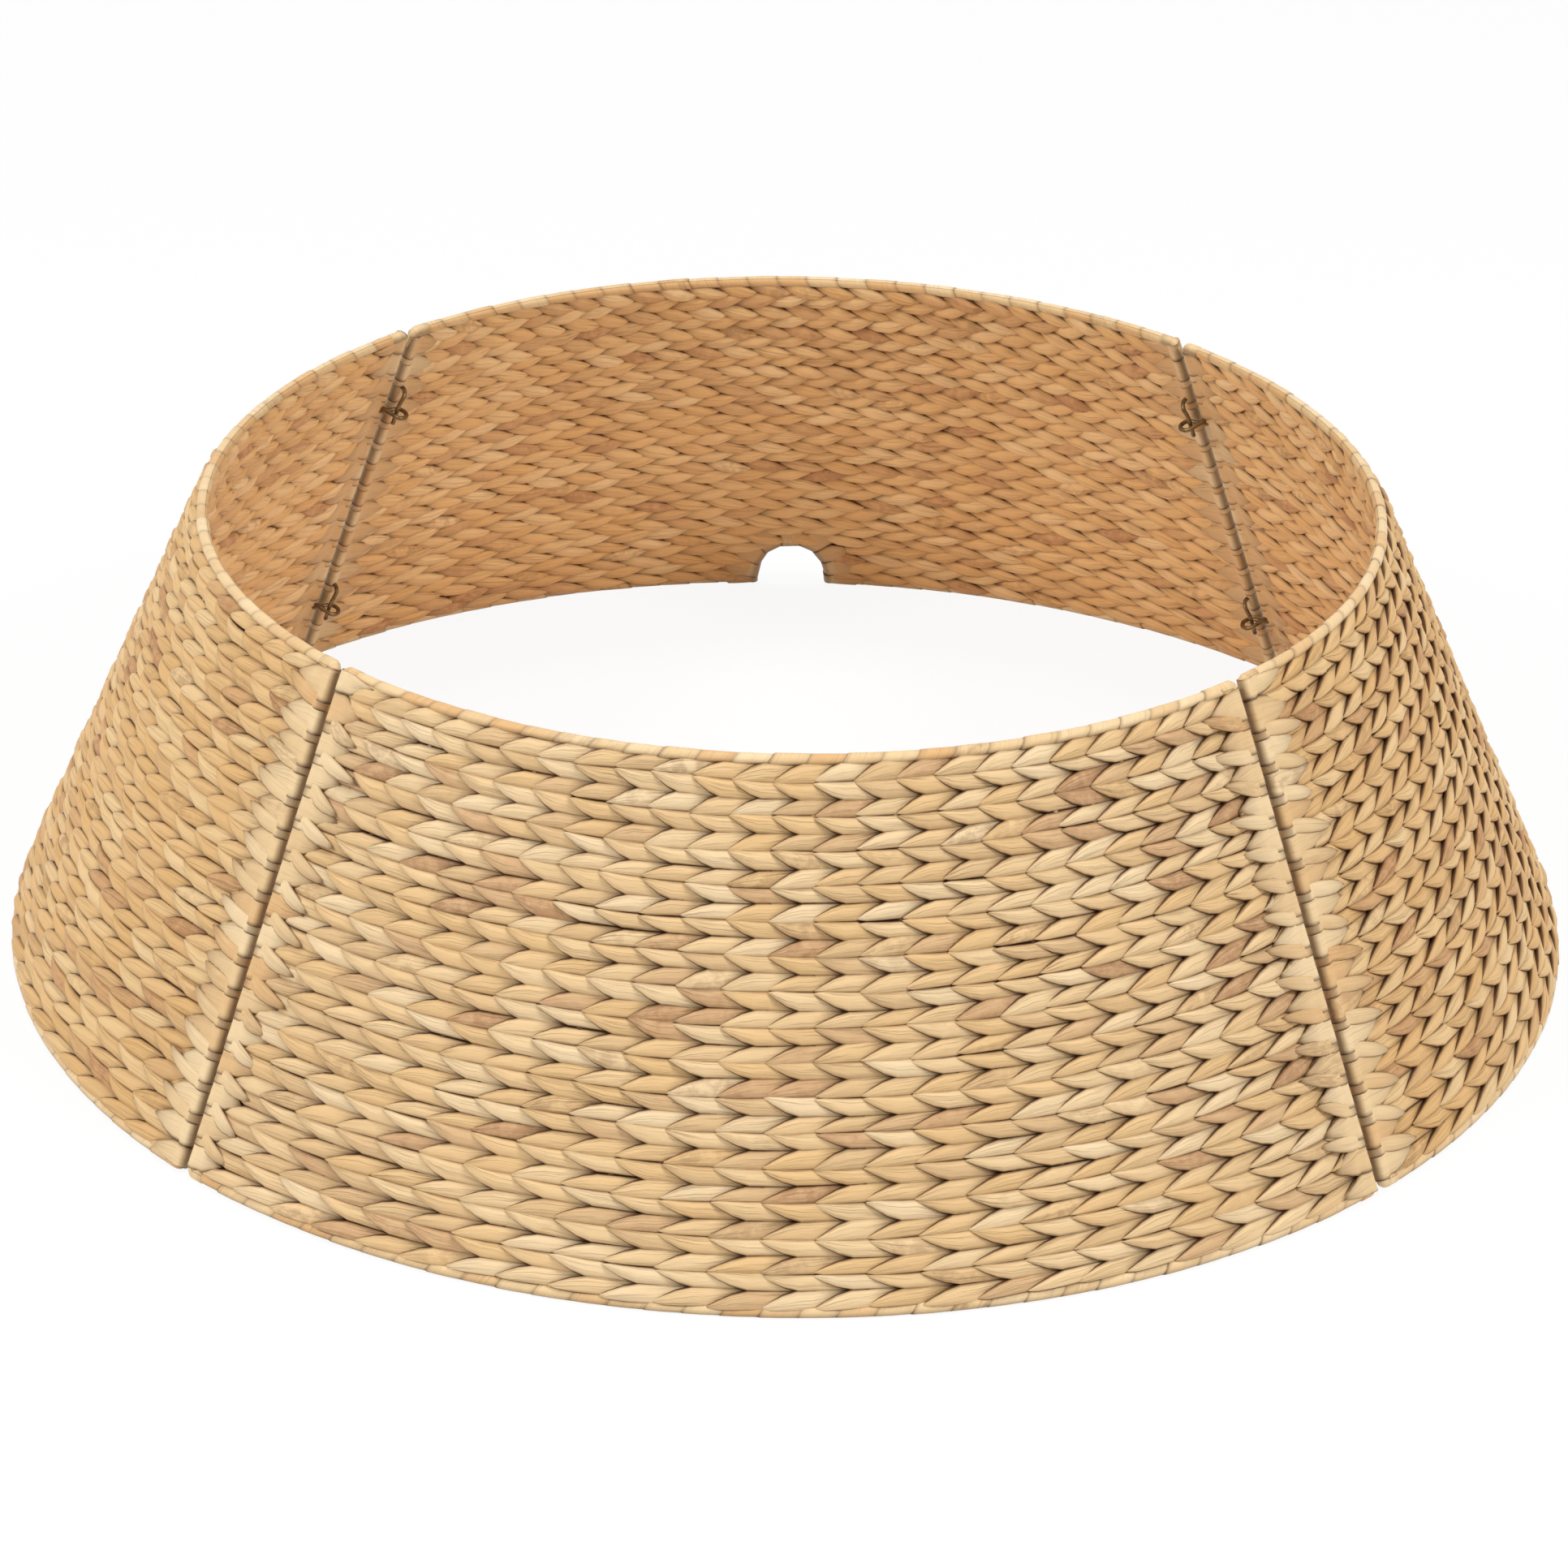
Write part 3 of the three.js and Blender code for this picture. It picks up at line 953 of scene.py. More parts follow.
HINGED_GIRTH = {"roll_radius": 3.14 * MM, "joint_step": 0.12 * MM}
LIFTED_GIRTH = {"roll_radius": 3.65 * MM, "joint_step": 0.2 * MM}
NARROW_WRAP = EdgeWrapShape(
    rise=4.2 * MM,
    drop=4.2 * MM,
    roll_depth=3.85 * MM,
    crown=1.1 * MM,
    inner_lift=0.5,
    fan_route=(
        (30.0, 3.6, 0.0), (26.0, 5.5, 0.5), (21.0, 6.2, 0.82),
        (16.0, 6.0, 0.96), (12.0, 4.9, 1.0), (9.3, 3.5, 0.96),
    ),
)
NOTCH_WRAP = EdgeWrapShape(
    rise=7.0 * MM,
    drop=6.6 * MM,
    wire_offset=0.0,
    roll_radius=3.3 * MM,
    roll_depth=3.6 * MM,
    fan_route=((19.0, 2.2, 0.0), (15.5, 4.2, 0.7), (10.5, 5.0, 1.2), (5.5, 4.6, 1.1)),
)


@dataclass(frozen=True)
class RimWrapShape:
    """One turn of strip round a rim wire, its ends slanted, one rim pitch long."""

    radius: float = 2.95 * MM
    length: float = 1.08
    slant: float = 0.10
    profile: Profile = ((0.0, 0.9), (0.06, 1.03), (0.5, 1.02), (0.94, 0.96), (1.0, 0.86))

    def mesh(self) -> bpy.types.Mesh:
        """Builds the turn along +X.

        Returns:
            The mesh.
        """
        rings = []
        for share, girth in self.profile:
            radius, across = self.radius * girth, (share * 2 - 1) * BINDING_STRIP.half_width
            ring = []
            for turn in SECTION_TURNS:
                x = share * self.length + self.slant * math.cos(turn)
                along = BINDING_STRIP.half_length + (turn - math.pi) * self.radius
                point = (x, radius * math.cos(turn), radius * math.sin(turn))
                ring.append((point, (along, across)))
            rings.append(ring)
        return ring_mesh("rim wrap", rings)


@dataclass(frozen=True)
class StakeShape:
    """Upright stake in the middle of the wall, as tall as all the rows."""

    half_width: float = 0.07
    half_depth: float = 1.7 * MM
    row_height: float = 8 * MM
    steps: int = 8
    corners: Profile = ((-1.0, -0.6), (-0.5, -1.0), (0.5, -1.0), (1.0, -0.6))

    def mesh(self) -> bpy.types.Mesh:
        """Builds the stake along -Y, a row pitch to the unit.

        Returns:
            The mesh.
        """
        corners = self.corners + tuple((-x, -z) for x, z in self.corners)
        rings = []
        for k in range(self.steps + 1):
            y = 0.5 - WEAVE.rows * k / self.steps
            rings.append([
                (
                    (x * self.half_width, y, z * self.half_depth),
                    (-y * self.row_height, x * STAKE_STRIP.half_width),
                )
                for x, z in corners
            ])
        return ring_mesh("stake", rings)


def tube_mesh(name: str, places: Sequence[Vector], radius: float) -> bpy.types.Mesh:
    """Sweeps a round section along a route.

    Args:
        name: Name of the mesh.
        places: Points of the route.
        radius: Radius of the section.

    Returns:
        The closed mesh, with fibres mapped round it.
    """
    rings, side, along = [], Vector((0.0, 0.0, 1.0)), 0.0
    band = 12 * MM
    start = BINDING_STRIP.half_length - math.pi * radius
    for i, place in enumerate(places):
        ahead = places[min(i + 1, len(places) - 1)] - places[max(i - 1, 0)]
        ahead.normalize()
        side = (side - ahead * side.dot(ahead)).normalized()
        up = ahead.cross(side)
        along += (place - places[i - 1]).length if i else 0.0
        across = (along % band) - band / 2
        rings.append([
            (
                place + (side * math.cos(turn) + up * math.sin(turn)) * radius,
                (start + turn * radius, across),
            )
            for turn in SECTION_TURNS
        ])
    return ring_mesh(name, rings)


def smooth_route(points: Sequence[Vector], steps: int) -> list[Vector]:
    """Runs a smooth line through points.

    Args:
        points: Points that the line passes.
        steps: Points added between two of them.

    Returns:
        The line.
    """
    line = []
    ends = [points[0] * 2 - points[1], *points, points[-1] * 2 - points[-2]]
    for i in range(1, len(ends) - 2):
        a, b, c, d = ends[i - 1 : i + 3]
        for k in range(steps):
            t = k / steps
            bend = (a * 2 - b * 5 + c * 4 - d) * t**2 + (b * 3 - a - c * 3 + d) * t**3
            line.append((b * 2 + (c - a) * t + bend) / 2)
    return [*line, points[-1]]


# Layout trees


def wall_group() -> TreeWriter:
    """Builds the group that finds a point of the wall.

    Returns:
        Writer of the group.
    """
    sizes = {"Base Radius": WALL.base_radius, "Height": WALL.height, "Lean": WALL.lean}
    tree = TreeWriter.group(
        "point on wall",
        "GeometryNodeTree",
        {"Facing": 0.0, "Fraction": 0.5, "Margin": 0.0, "Down": 0.0, "Out": 0.0, **sizes},
        {"Point": "Vector", "Radius": "Float"},
    )
    cosine, sine, tangent = (
        tree.math(name, tree["Lean"]) for name in ("COSINE", "SINE", "TANGENT")
    )
    rise = tree["Height"] - tree["Down"] * cosine
    radius = tree["Base Radius"] - rise * tangent
    spread = QUARTER - tree["Margin"] * 2.0 / radius
    angle = tree["Facing"] + (tree["Fraction"] - 0.5) * spread
    reach = radius + tree["Out"] * cosine
    tree["Point"] = tree.vector(
        reach * tree.math("COSINE", angle),
        reach * tree.math("SINE", angle),
        tree.math("MAXIMUM", rise + tree["Out"] * sine, 0.0),
    )
    tree["Radius"] = radius
    return tree


class LayoutTree(TreeWriter):
    """Writes a geometry tree that lays copies of a shape out on the wall of a panel.

    The group that finds a point of the wall is made before the first tree.
    """

    on_wall: TreeWriter

    @classmethod
    def start(cls, name: str, inputs: dict[str, Value]) -> "LayoutTree":
        """Makes the tree.

        Args:
            name: Name of the tree.
            inputs: Its inputs beside the geometry, facing, seed and material.

        Returns:
            A writer on the new tree.
        """
        taken = {"Geometry": "Geometry", **inputs, "Facing": 0.0, "Seed": 0, "Material": "Material"}
        return cls.group(name, "GeometryNodeTree", taken, {"Geometry": "Geometry"})

    def wall(self, output: str, **values: Value) -> Number:
        """Reads the point or the radius of a place on the wall."""
        return self.get(self.place(self.on_wall, **values), output)

    def index(self) -> Number:
        """Reads the number of each point."""
        return self.read("GeometryNodeInputIndex")

    def position(self) -> list[Number]:
        """Reads the place of each point."""
        return self.split(self.read("GeometryNodeInputPosition"))

    def named(self, name: str) -> Number:
        """Reads a value that was kept on points under a name."""
        return self.read("GeometryNodeInputNamedAttribute", {"Name": name}, data_type="FLOAT")

    def keep(self, points: Number, name: str, value: Number) -> Number:
        """Keeps a value on points under a name."""
        inputs = {"Geometry": points, "Name": name, "Value": value}
        kind = "GeometryNodeStoreNamedAttribute"
        return self.read(kind, inputs, data_type="FLOAT", domain="POINT")

    def move(self, geometry: Number, place: Number) -> Number:
        """Moves each point to a place."""
        return self.read("GeometryNodeSetPosition", {"Geometry": geometry, "Position": place})

    def line(self, count: Number) -> Number:
        """Makes points at the origin."""
        return self.read("GeometryNodeMeshLine", {"Count": count, "Offset": (0.0, 0.0, 0.0)})

    def chance(self, low: float, high: float, salt: int) -> Number:
        """Draws a number for each copy.

        Args:
            low: Lowest number.
            high: Highest number.
            salt: Sets this draw apart from the others.

        Returns:
            The number.
        """
        inputs = {2: low, 3: high, "ID": self.index(), "Seed": self["Seed"] + salt}
        return self.read("FunctionNodeRandomValue", inputs, 1, data_type="FLOAT")

    def scatter(self, points: Number, shape: Number, rotation: Number, scale: Number) -> Number:
        """Copies a shape to points, each copy with its own tone and wear.

        Args:
            points: Points, at their places in the flat frame.
            shape: Mesh to copy.
            rotation: Turn of each copy.
            scale: Scale of each copy.

        Returns:
            The copies as one mesh.
        """
        for name, salt in ((TONE, 1), (WEAR, 2)):
            points = self.keep(points, name, self.chance(0.0, 1.0, salt))
        inputs = {"Points": points, "Instance": shape, "Rotation": rotation, "Scale": scale}
        copies = self.read("GeometryNodeInstanceOnPoints", inputs)
        return self.read("GeometryNodeRealizeInstances", {"Geometry": copies})

    def finish(self, mesh: Number, inverted: Value, **values: Value) -> None:
        """Moves a flat mesh to the wall, turns inverted faces and sets the material.

        Args:
            mesh: The mesh in the flat frame.
            inverted: Whether a face came out inverted.
            **values: Place on the wall of each point.
        """
        moved = self.move(mesh, self.wall("Point", facing=self["Facing"], **values))
        flipped = self.read("GeometryNodeFlipFaces", {"Mesh": moved, "Selection": inverted})
        whole = self.read("GeometryNodeRealizeInstances", {"Geometry": flipped})
        inputs = {"Geometry": whole, "Material": self["Material"]}
        self["Geometry"] = self.read("GeometryNodeSetMaterial", inputs)


def rows_tree() -> LayoutTree:
    """Builds the tree that lays a shape out in rows and columns.

    Returns:
        Writer of the tree.
    """
    counts = {"Rows": 1, "Columns": 1, "Hidden Columns": 0, "First Slant": 0}
    sizes = {"Overhang": 0.0, "Row Shift": 0.0, "Top Margin": 0.0, "Side Margin": 0.0}
    sizes.update({"Row Pitch": 1.0, "Notch Half Width": 0.0, "Notch Rise": 0.0})
    looks = {"Slanted": 1.0, "Face Side": 1.0, "Variation": 1.0, "Girth Variation": 0.0}
    looks.update({"Wobble": 0.0, "Side Rise": 1000.0})
    side_height, wave_across, wave_down, wave_seed, tiny = 0.36, 0.23, 0.31, 1.7, 1e-6
    tree = LayoutTree.start("woven rows", {**counts, **sizes, **looks})
    hidden, vary = tree["Hidden Columns"], tree["Variation"]
    top, pitch = tree["Top Margin"], tree["Row Pitch"]
    columns, width = tree["Columns"] + hidden * 2.0, tree["Columns"] + tree["Overhang"]
    index = tree.index()
    row = tree.math("FLOOR", (index + 0.5) / columns)
    column = index - row * columns - hidden
    slant = tree.math("MODULO", row + tree["First Slant"], 2.0) * tree["Slanted"]
    flat = tree.vector(
        column + tree.chance(-0.03, 0.03, 8) * vary + slant * tree["Row Shift"],
        tree.chance(-0.04, 0.04, 9) * vary - 0.5 - row,
        0.0,
    )
    points = tree.keep(tree.move(tree.line(tree["Rows"] * columns), flat), "row_slant", slant)

    across = ((column + 0.5 + tree["Overhang"] / 2.0) / width - 0.5) * QUARTER
    down = top + (row + 0.5) * pitch
    sideways = tree.math("ABSOLUTE", across * tree.wall("Radius", down=down))
    climb = WALL.slope_length - down
    reach, climb = (
        distance / tree.math("MAXIMUM", tree[name], tiny)
        for distance, name in ((sideways, "Notch Half Width"), (climb, "Notch Rise"))
    )
    inside = tree.math("LESS_THAN", reach**NOTCH.roundness + climb**NOTCH.roundness, 1.0)
    points = tree.read("GeometryNodeDeleteGeometry", {"Geometry": points, "Selection": inside})

    girth = 1.0 + tree.chance(-1.0, 1.0, 7) * tree["Girth Variation"]
    scale = tree.vector(
        1.0 + tree.chance(-0.05, 0.06, 3) * vary,
        (1.0 - slant * 2.0) * girth * (1.0 + tree.chance(-0.08, 0.12, 4) * vary),
        girth * (1.0 + tree.chance(-0.2, 0.06, 5) * vary),
    )
    turn = tree.vector(0.0, 0.0, tree.chance(-0.03, 0.03, 6) * vary)
    copies = tree.scatter(points, tree["Geometry"], turn, scale)

    x, y, out = tree.position()
    x = tree.math("MAXIMUM", tree.math("MINIMUM", x, width), 0.0)
    waves = tree.vector(x * wave_across, y * wave_down, tree["Seed"] * wave_seed)
    drift = tree.read("ShaderNodeTexNoise", {"Vector": waves, "Scale": 1.0, "Detail": 1.0})
    from_side = tree.math("MINIMUM", x, width - x)
    dive = tree.math("MINIMUM", from_side * tree["Side Rise"] + side_height, 1.0)
    side = tree["Face Side"]
    tree.finish(
        copies,
        tree.math("GREATER_THAN", tree.named("row_slant"), 0.5),
        fraction=(x / width - 0.5) * side + 0.5,
        margin=tree["Side Margin"],
        down=top - (y + (drift - 0.5) * tree["Wobble"]) * pitch,
        out=out * side * dive,
    )
    return tree


def edge_tree() -> LayoutTree:
    """Builds the tree that lays wraps out down an edge wire.

    Returns:
        Writer of the tree.
    """
    numbers = {"Count": 1, "First Down": 0.0, "Pitch": 1.0, "Edge Side": 0.0}
    fan, reach_share, bend_share = {"Fan Start": 9 * MM, "Fan Slope": 0.0}, 0.18, 0.08
    tree = LayoutTree.start("edge wraps", {**numbers, **fan})
    flat = tree.vector(0.0, 0.0 - tree.index() * tree["Pitch"], 0.0)
    points = tree.move(tree.line(tree["Count"]), flat)
    for name, salt in (("fan_reach", 11), ("fan_bend", 12)):
        points = tree.keep(points, name, tree.chance(-1.0, 1.0, salt))
    scale = tree.vector(1.0, 1.0 + tree.chance(-0.05, 0.05, 13), 1.0)
    copies = tree.scatter(points, tree["Geometry"], tree.vector(0.0, 0.0, 0.0), scale)
    x, y, out = tree.position()
    beyond = tree.math("MAXIMUM", x - tree["Fan Start"], 0.0)
    slope = tree["Fan Slope"] - tree.named("fan_bend") * bend_share
    edge = tree["Edge Side"]
    tree.finish(
        copies,
        tree.math("GREATER_THAN", edge, 0.5),
        fraction=edge,
        margin=x + beyond * tree.named("fan_reach") * reach_share,
        down=tree["First Down"] - y + beyond * slope,
        out=out,
    )
    return tree


def arch_tree() -> LayoutTree:
    """Builds the tree that turns wraps round the arch of the notch.

    Returns:
        Writer of the tree. Its geometry is the flat outline of the arch.
    """
    tree = LayoutTree.start("notch wraps", {"Wrap": "Object", "Count": 1})
    curve = tree.read("GeometryNodeMeshToCurve", {"Mesh": tree["Geometry"]})
    inputs = {"Curve": curve, "Count": tree["Count"]}
    spots = tree.node("GeometryNodeCurveToPoints", inputs, mode="COUNT")
    ahead_x, ahead_y, _ = tree.split(tree.get(spots, "Tangent"))
    turn = tree.vector(0.0, 0.0, tree.math("ARCTAN2", ahead_y, ahead_x) + QUARTER)
    wrap = tree.read("GeometryNodeObjectInfo", {"Object": tree["Wrap"]}, "Geometry")
    long, wide = 1.0 + tree.chance(-0.08, 0.08, 21), 1.0 + tree.chance(-0.1, 0.15, 22)
    scale = tree.vector(long, wide, 1.0)
    copies = tree.scatter(tree.get(spots, "Points"), wrap, turn, scale)
    x, y, out = tree.position()
    down = WALL.slope_length - y
    fraction = x / (tree.wall("Radius", down=down) * QUARTER) + 0.5
    tree.finish(copies, False, fraction=fraction, margin=0.0, down=down, out=out)
    return tree


def run_tree(
    tree: LayoutTree, base: bpy.types.Mesh, values: dict[str, object], name: str
) -> bpy.types.Mesh:
    """Runs a geometry tree on a mesh and keeps the result as a plain mesh.

    Args:
        tree: Writer of the tree.
        base: Mesh that the tree starts from.
        values: Values of its named inputs.
        name: Name of the result.

    Returns:
        The result.
    """
    host = add_object(name + " host", base)
    modifier = host.modifiers.new("layout", "NODES")
    modifier.node_group = tree.tree
    for item in tree.tree.interface.items_tree:
        if item.in_out == "INPUT" and item.name in values:
            modifier[item.identifier] = values[item.name]
    graph = bpy.context.evaluated_depsgraph_get()
    mesh = bpy.data.meshes.new_from_object(host.evaluated_get(graph), depsgraph=graph)
    mesh.name = name
    host.modifiers.remove(modifier)
    bpy.data.objects.remove(host)
    for extra in LAYOUT_NAMES:
        if extra in mesh.attributes:
            mesh.attributes.remove(mesh.attributes[extra])
    return mesh


# Pieces


@dataclass
class Piece:
    """A finished mesh and what the frame has to know of it."""

    mesh: bpy.types.Mesh
    name: str
    body: str
    slot: str
    nodes: tuple[str, ...] = ()

    def add(self) -> None:
        """Puts the piece in the scene and fastens it to its body."""
        made = add_object(self.name, self.mesh)
        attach(made, self.body)
        if self.nodes:
            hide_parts(*self.nodes)
        LOG.info("%s: %d faces on %s", self.name, len(self.mesh.polygons), self.body)


class Workshop:
    """What all panels share: node trees and finishes."""

    def __init__(self) -> None:
        """Builds the trees and the finishes."""
        LayoutTree.on_wall = wall_group()
        self.rows = rows_tree()
        self.edge = edge_tree()
        self.arch = arch_tree()
        fibres = fibre_group()
        self.materials = {finish.name: finish.build(fibres) for finish in STRIPS}
        for finish in (CLOSURE_WIRE, FRAME_WIRE):
            self.materials[finish.name] = finish.build()


@dataclass
class ClosureWires:
    """Pins or eyes on both edges of a panel, bent from thin wire."""

    wire_radius: float = 1.2 * MM
    upper_depth: float = 54 * MM
    lower_depth: float = 208 * MM
    pin_rise: float = 13 * MM
    pin_drop: float = 7 * MM
    eye_inner_radius: float = 3.3 * MM
    eye_edge_room: float = 1.94 * MM
    eye_steps: int = 14
    leg_gap: float = 0.4 * MM
    clearance: float = 0.35 * MM
    binding_radius: float = 3 * MM
    frame_wire_radius: float = 1.8 * MM

    @property
    def eye_shift(self) -> float:
        """Distance of an eye's middle past the seam."""
        return self.eye_inner_radius - self.wire_radius - self.clearance

    @property
    def standoff(self) -> float:
        """Distance inwards from the middle of the wall to the hanging pin."""
        reach = self.eye_inner_radius + 2 * self.wire_radius
        reach += self.eye_edge_room + self.binding_radius
        return math.sqrt(reach**2 - (WALL.edge_wire_offset - self.eye_shift) ** 2)

    @property
    def root(self) -> float:
        """Distance inwards from the side wire's middle where a closure starts."""
        return self.frame_wire_radius + self.clearance

    @staticmethod
    def seam_point(
        facing: float, side: int, depth: float, own: float, inward: float, up: float
    ) -> Vector:
        """Finds a point near a seam.

        Args:
            facing: Angle that the panel faces.
            side: 1 for the right edge, -1 for the left one.
            depth: Way down the slope.
            own: Distance from the seam towards the panel.
            inward: Distance inwards from the middle of the wall.
            up: Distance up the slope.

        Returns:
            The point.
        """
        angle = facing + side * math.pi / 4
        towards = Vector((side * math.sin(angle), -side * math.cos(angle), 0.0))
        cos_lean, sin_lean = math.cos(WALL.lean), math.sin(WALL.lean)
        plan = Vector((math.cos(angle), math.sin(angle), 0.0))
        into = plan * -cos_lean - Vector((0.0, 0.0, sin_lean))
        rise = plan * -sin_lean + Vector((0.0, 0.0, cos_lean))
        middle = plan * WALL.radius(depth) + Vector((0.0, 0.0, WALL.height - depth * cos_lean))
        return middle + towards * own + into * inward + rise * up

    def pin_route(self, near: Callable[[float, float, float], Vector]) -> list[Vector]:
        """Runs a pin from its side wire out, over the eye and down through it.

        Args:
            near: Finds a point near the seam.

        Returns:
            The route.
        """
        shares = ((1, 0, 1), (1, 0.45, 1), (0.5, 0.9, 0.9), (0, 1, 0.5), (0, 1, 0))
        points = [
            near(
                own * WALL.edge_wire_offset,
                self.root + (self.standoff - self.root) * inward,
                up * self.pin_rise,
            )
            for own, inward, up in shares
        ]
        return smooth_route([*points, near(0.0, self.standoff, -self.pin_drop)], 8)

    def eye_route(self, near: Callable[[float, float, float], Vector]) -> list[Vector]:
        """Runs an eye from its side wire round the pin and back beside its start.

        Args:
            near: Finds a point near the seam.

        Returns:
            The route.
        """
        loop = self.eye_inner_radius + self.wire_radius
        middle = Vector((-self.eye_shift, self.standoff))
        root = Vector((WALL.edge_wire_offset, self.root))
        neck = Vector((WALL.edge_wire_offset, self.binding_radius + self.wire_radius))
        to_neck = neck - middle
        first = math.acos(loop / to_neck.length)
        heading = math.atan2(to_neck.y, to_neck.x)
        outline = [root, neck]
        for i in range(self.eye_steps + 1):
            turn = heading + first + (2 * math.pi - 2 * first) * i / self.eye_steps
            outline.append(middle + Vector((math.cos(turn), math.sin(turn))) * loop)
        outline += [neck, root]
        half_pitch = self.wire_radius + self.leg_gap / 2
        last = len(outline) - 1
        points = [near(p.x, p.y, half_pitch * (1 - 2 * i / last)) for i, p in enumerate(outline)]
        return smooth_route(points, 3)

    def build(self, panel: "Panel") -> None:
        """Adds the four closures of a panel.

        Args:
            panel: The panel that carries them.
        """
        route = self.pin_route if panel.closure is Closure.PIN else self.eye_route
        for edge, side in ((Edge.RIGHT, 1), (Edge.LEFT, -1)):
            for level, depth in (("upper", self.upper_depth), ("lower", self.lower_depth)):
                node = f"{panel.seam(edge)}_{level}_{panel.closure.value}"
                near = partial(self.seam_point, panel.facing, side, depth)
                mesh = tube_mesh(node, route(near), self.wire_radius)
                panel.add(mesh, node + "_wire", CLOSURE_WIRE, node)


@dataclass
class Panel:
    """One woven panel of the ring."""

    name: str
    facing_degrees: float
    neighbours: tuple[str, str]
    closure: Closure
    notched: bool = False
    seed: int = 1
    # The back and side panels take the copy with painted shade on their outer faces; the front
    # takes the plain weave colours.
    outer_strip: StripFinish = SIDE_SHADE_STRIP
    rim_wraps: tuple[int, int] = (27, 35)
    core_half_thickness: float = 0.6 * MM
    core_cells: tuple[int, int] = (40, 96)
    notch_clearing: float = 1.0 * MM
    wraps: int = 15
    fan_slope: float = 0.3
    shop: Optional[Workshop] = None

    @property
    def facing(self) -> float:
        """Angle that the panel faces."""
        return math.radians(self.facing_degrees)

    def seam(self, edge: Edge) -> str:
        """Names an edge by the panel and the one across the seam."""
        return f"{self.name}_{self.neighbours[0 if edge is Edge.RIGHT else 1]}"

    def build(self, shop: Workshop) -> None:
        """Adds every piece of the panel.

        Args:
            shop: Shared trees and finishes.
        """
        self.shop = shop
        self.add_core()
        for face in Face:
            self.add_strips(face)
        self.add_stakes()
        for edge in Edge:
            self.add_edge(edge)
        self.add_rims()
        self.add_corners()
        if self.notched:
            self.add_notch()
        ClosureWires().build(self)
        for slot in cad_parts[f"{self.name}_panel_frame"].material_slots:
            slot.material = shop.materials[FRAME_WIRE.name]

    def add(
        self, mesh: bpy.types.Mesh, label: str, finish: Union[StripFinish, WireFinish], *nodes: str
    ) -> None:
        """Adds a mesh as a piece of this panel.

        Args:
            mesh: The mesh, which may have its material already.
            label: Name of the piece.
            finish: Its finish.
            *nodes: CAD nodes that it takes the place of.
        """
        if not mesh.materials:
            mesh.materials.append(self.shop.materials[finish.name])
        Piece(mesh, label, self.name, finish.slot, nodes).add()

    def lay(
        self,
        tree: LayoutTree,
        shape: bpy.types.Mesh,
        piece: tuple,
        seed: int,
        cleared: bool = False,
        **values,
    ) -> None:
        """Lays a shape out on this panel and adds the copies as one piece.

        Args:
            tree: Tree that lays it out.
            shape: Mesh that is copied, or the outline that the copies follow.
            piece: Name of the piece, its finish and the CAD nodes that it takes the place of.
            seed: Sets its random draws apart from those of the panel's other pieces.
            cleared: Whether what stands in the notch is moved out to its arch.
            **values: The tree's other inputs.
        """
        values["facing"], values["seed"] = self.facing, self.seed * 100 + seed
        values["material"] = self.shop.materials[piece[1].name]
        mesh = run_tree(tree, shape, titled(values), piece[0])
        if cleared and self.notched:
            self.clear_notch(mesh)
        self.add(mesh, *piece)

    def add_tube(self, label: str, places: Sequence[Vector], radius: float, tone: float) -> None:
        """Adds a wound rod of one tone and little wear, which stays above the floor.

        Args:
            label: Name of the piece.
            places: Points of its route.
            radius: Radius of the rod.
            tone: Tone, 0 to 1.
        """
        mesh = tube_mesh(label, places, radius)
        for vertex in mesh.vertices:
            vertex.co.z = max(vertex.co.z, 0.0)
        for name, value in ((TONE, tone), (WEAR, 0.2)):
            layer = mesh.attributes.new(name, "FLOAT", "POINT")
            layer.data.foreach_set("value", [value] * len(mesh.vertices))
        self.add(mesh, label, BINDING_STRIP)

    def beside(self, sideways: float, down: float, out: float = 0.0) -> Vector:
        """Finds the point at a distance to the right of the panel's middle."""
        fraction = 0.5 + sideways / WALL.radius(down) / QUARTER
        return WALL.point(self.facing, fraction, 0.0, down, out)

    def opening(self, beside: float, above: Optional[float] = None) -> dict[str, float]:
        """Gives the inputs that keep a layout out of the notch.

        Args:
            beside: Distance kept clear beside the arch.
            above: Distance kept clear above it, the same if not given.

        Returns:
            The inputs, none of them on a panel without a notch.
        """
        rise = NOTCH.rise + (beside if above is None else above)
        values = {"notch_half_width": NOTCH.half_width + beside, "notch_rise": rise}
        return values if self.notched else {}

    def add_strips(self, face: Face) -> None:
        """Adds the rows of strips on one face.

        Args:
            face: Face of the wall.
        """
        outer, inner = (self.outer_strip, 1, 0), (INNER_SHADE_STRIP, 0, 50)
        finish, slant, seed = outer if face is Face.OUTER else inner
        shape = STRIP_SHAPES[face]
        counts = {"rows": WEAVE.rows, "columns": WEAVE.columns, "hidden_columns": 1}
        shifts = {"overhang": shape.overhang, "row_shift": shape.row_shift, "first_slant": slant}
        looks = {"face_side": float(face.value), "side_rise": 1.05, "wobble": 0.5}
        values = {**counts, **shifts, **looks, **ROW_SIZES, **self.opening(self.notch_clearing)}
        piece = (f"{self.name}_{face.name.lower()}_strips", finish, f"{self.name}_panel_weave")
        self.lay(self.shop.rows, shape.mesh(), piece, seed, cleared=True, **values)

    def add_stakes(self) -> None:
        """Adds the stakes that the rows are twined on."""
        counts = {"rows": 1, "columns": WEAVE.columns + 1, "overhang": WEAVE.overhang - 1.0}
        values = {**counts, **UPRIGHT, **ROW_SIZES}
        piece = (f"{self.name}_stakes", STAKE_STRIP)
        self.lay(self.shop.rows, StakeShape().mesh(), piece, 7, cleared=True, **values)

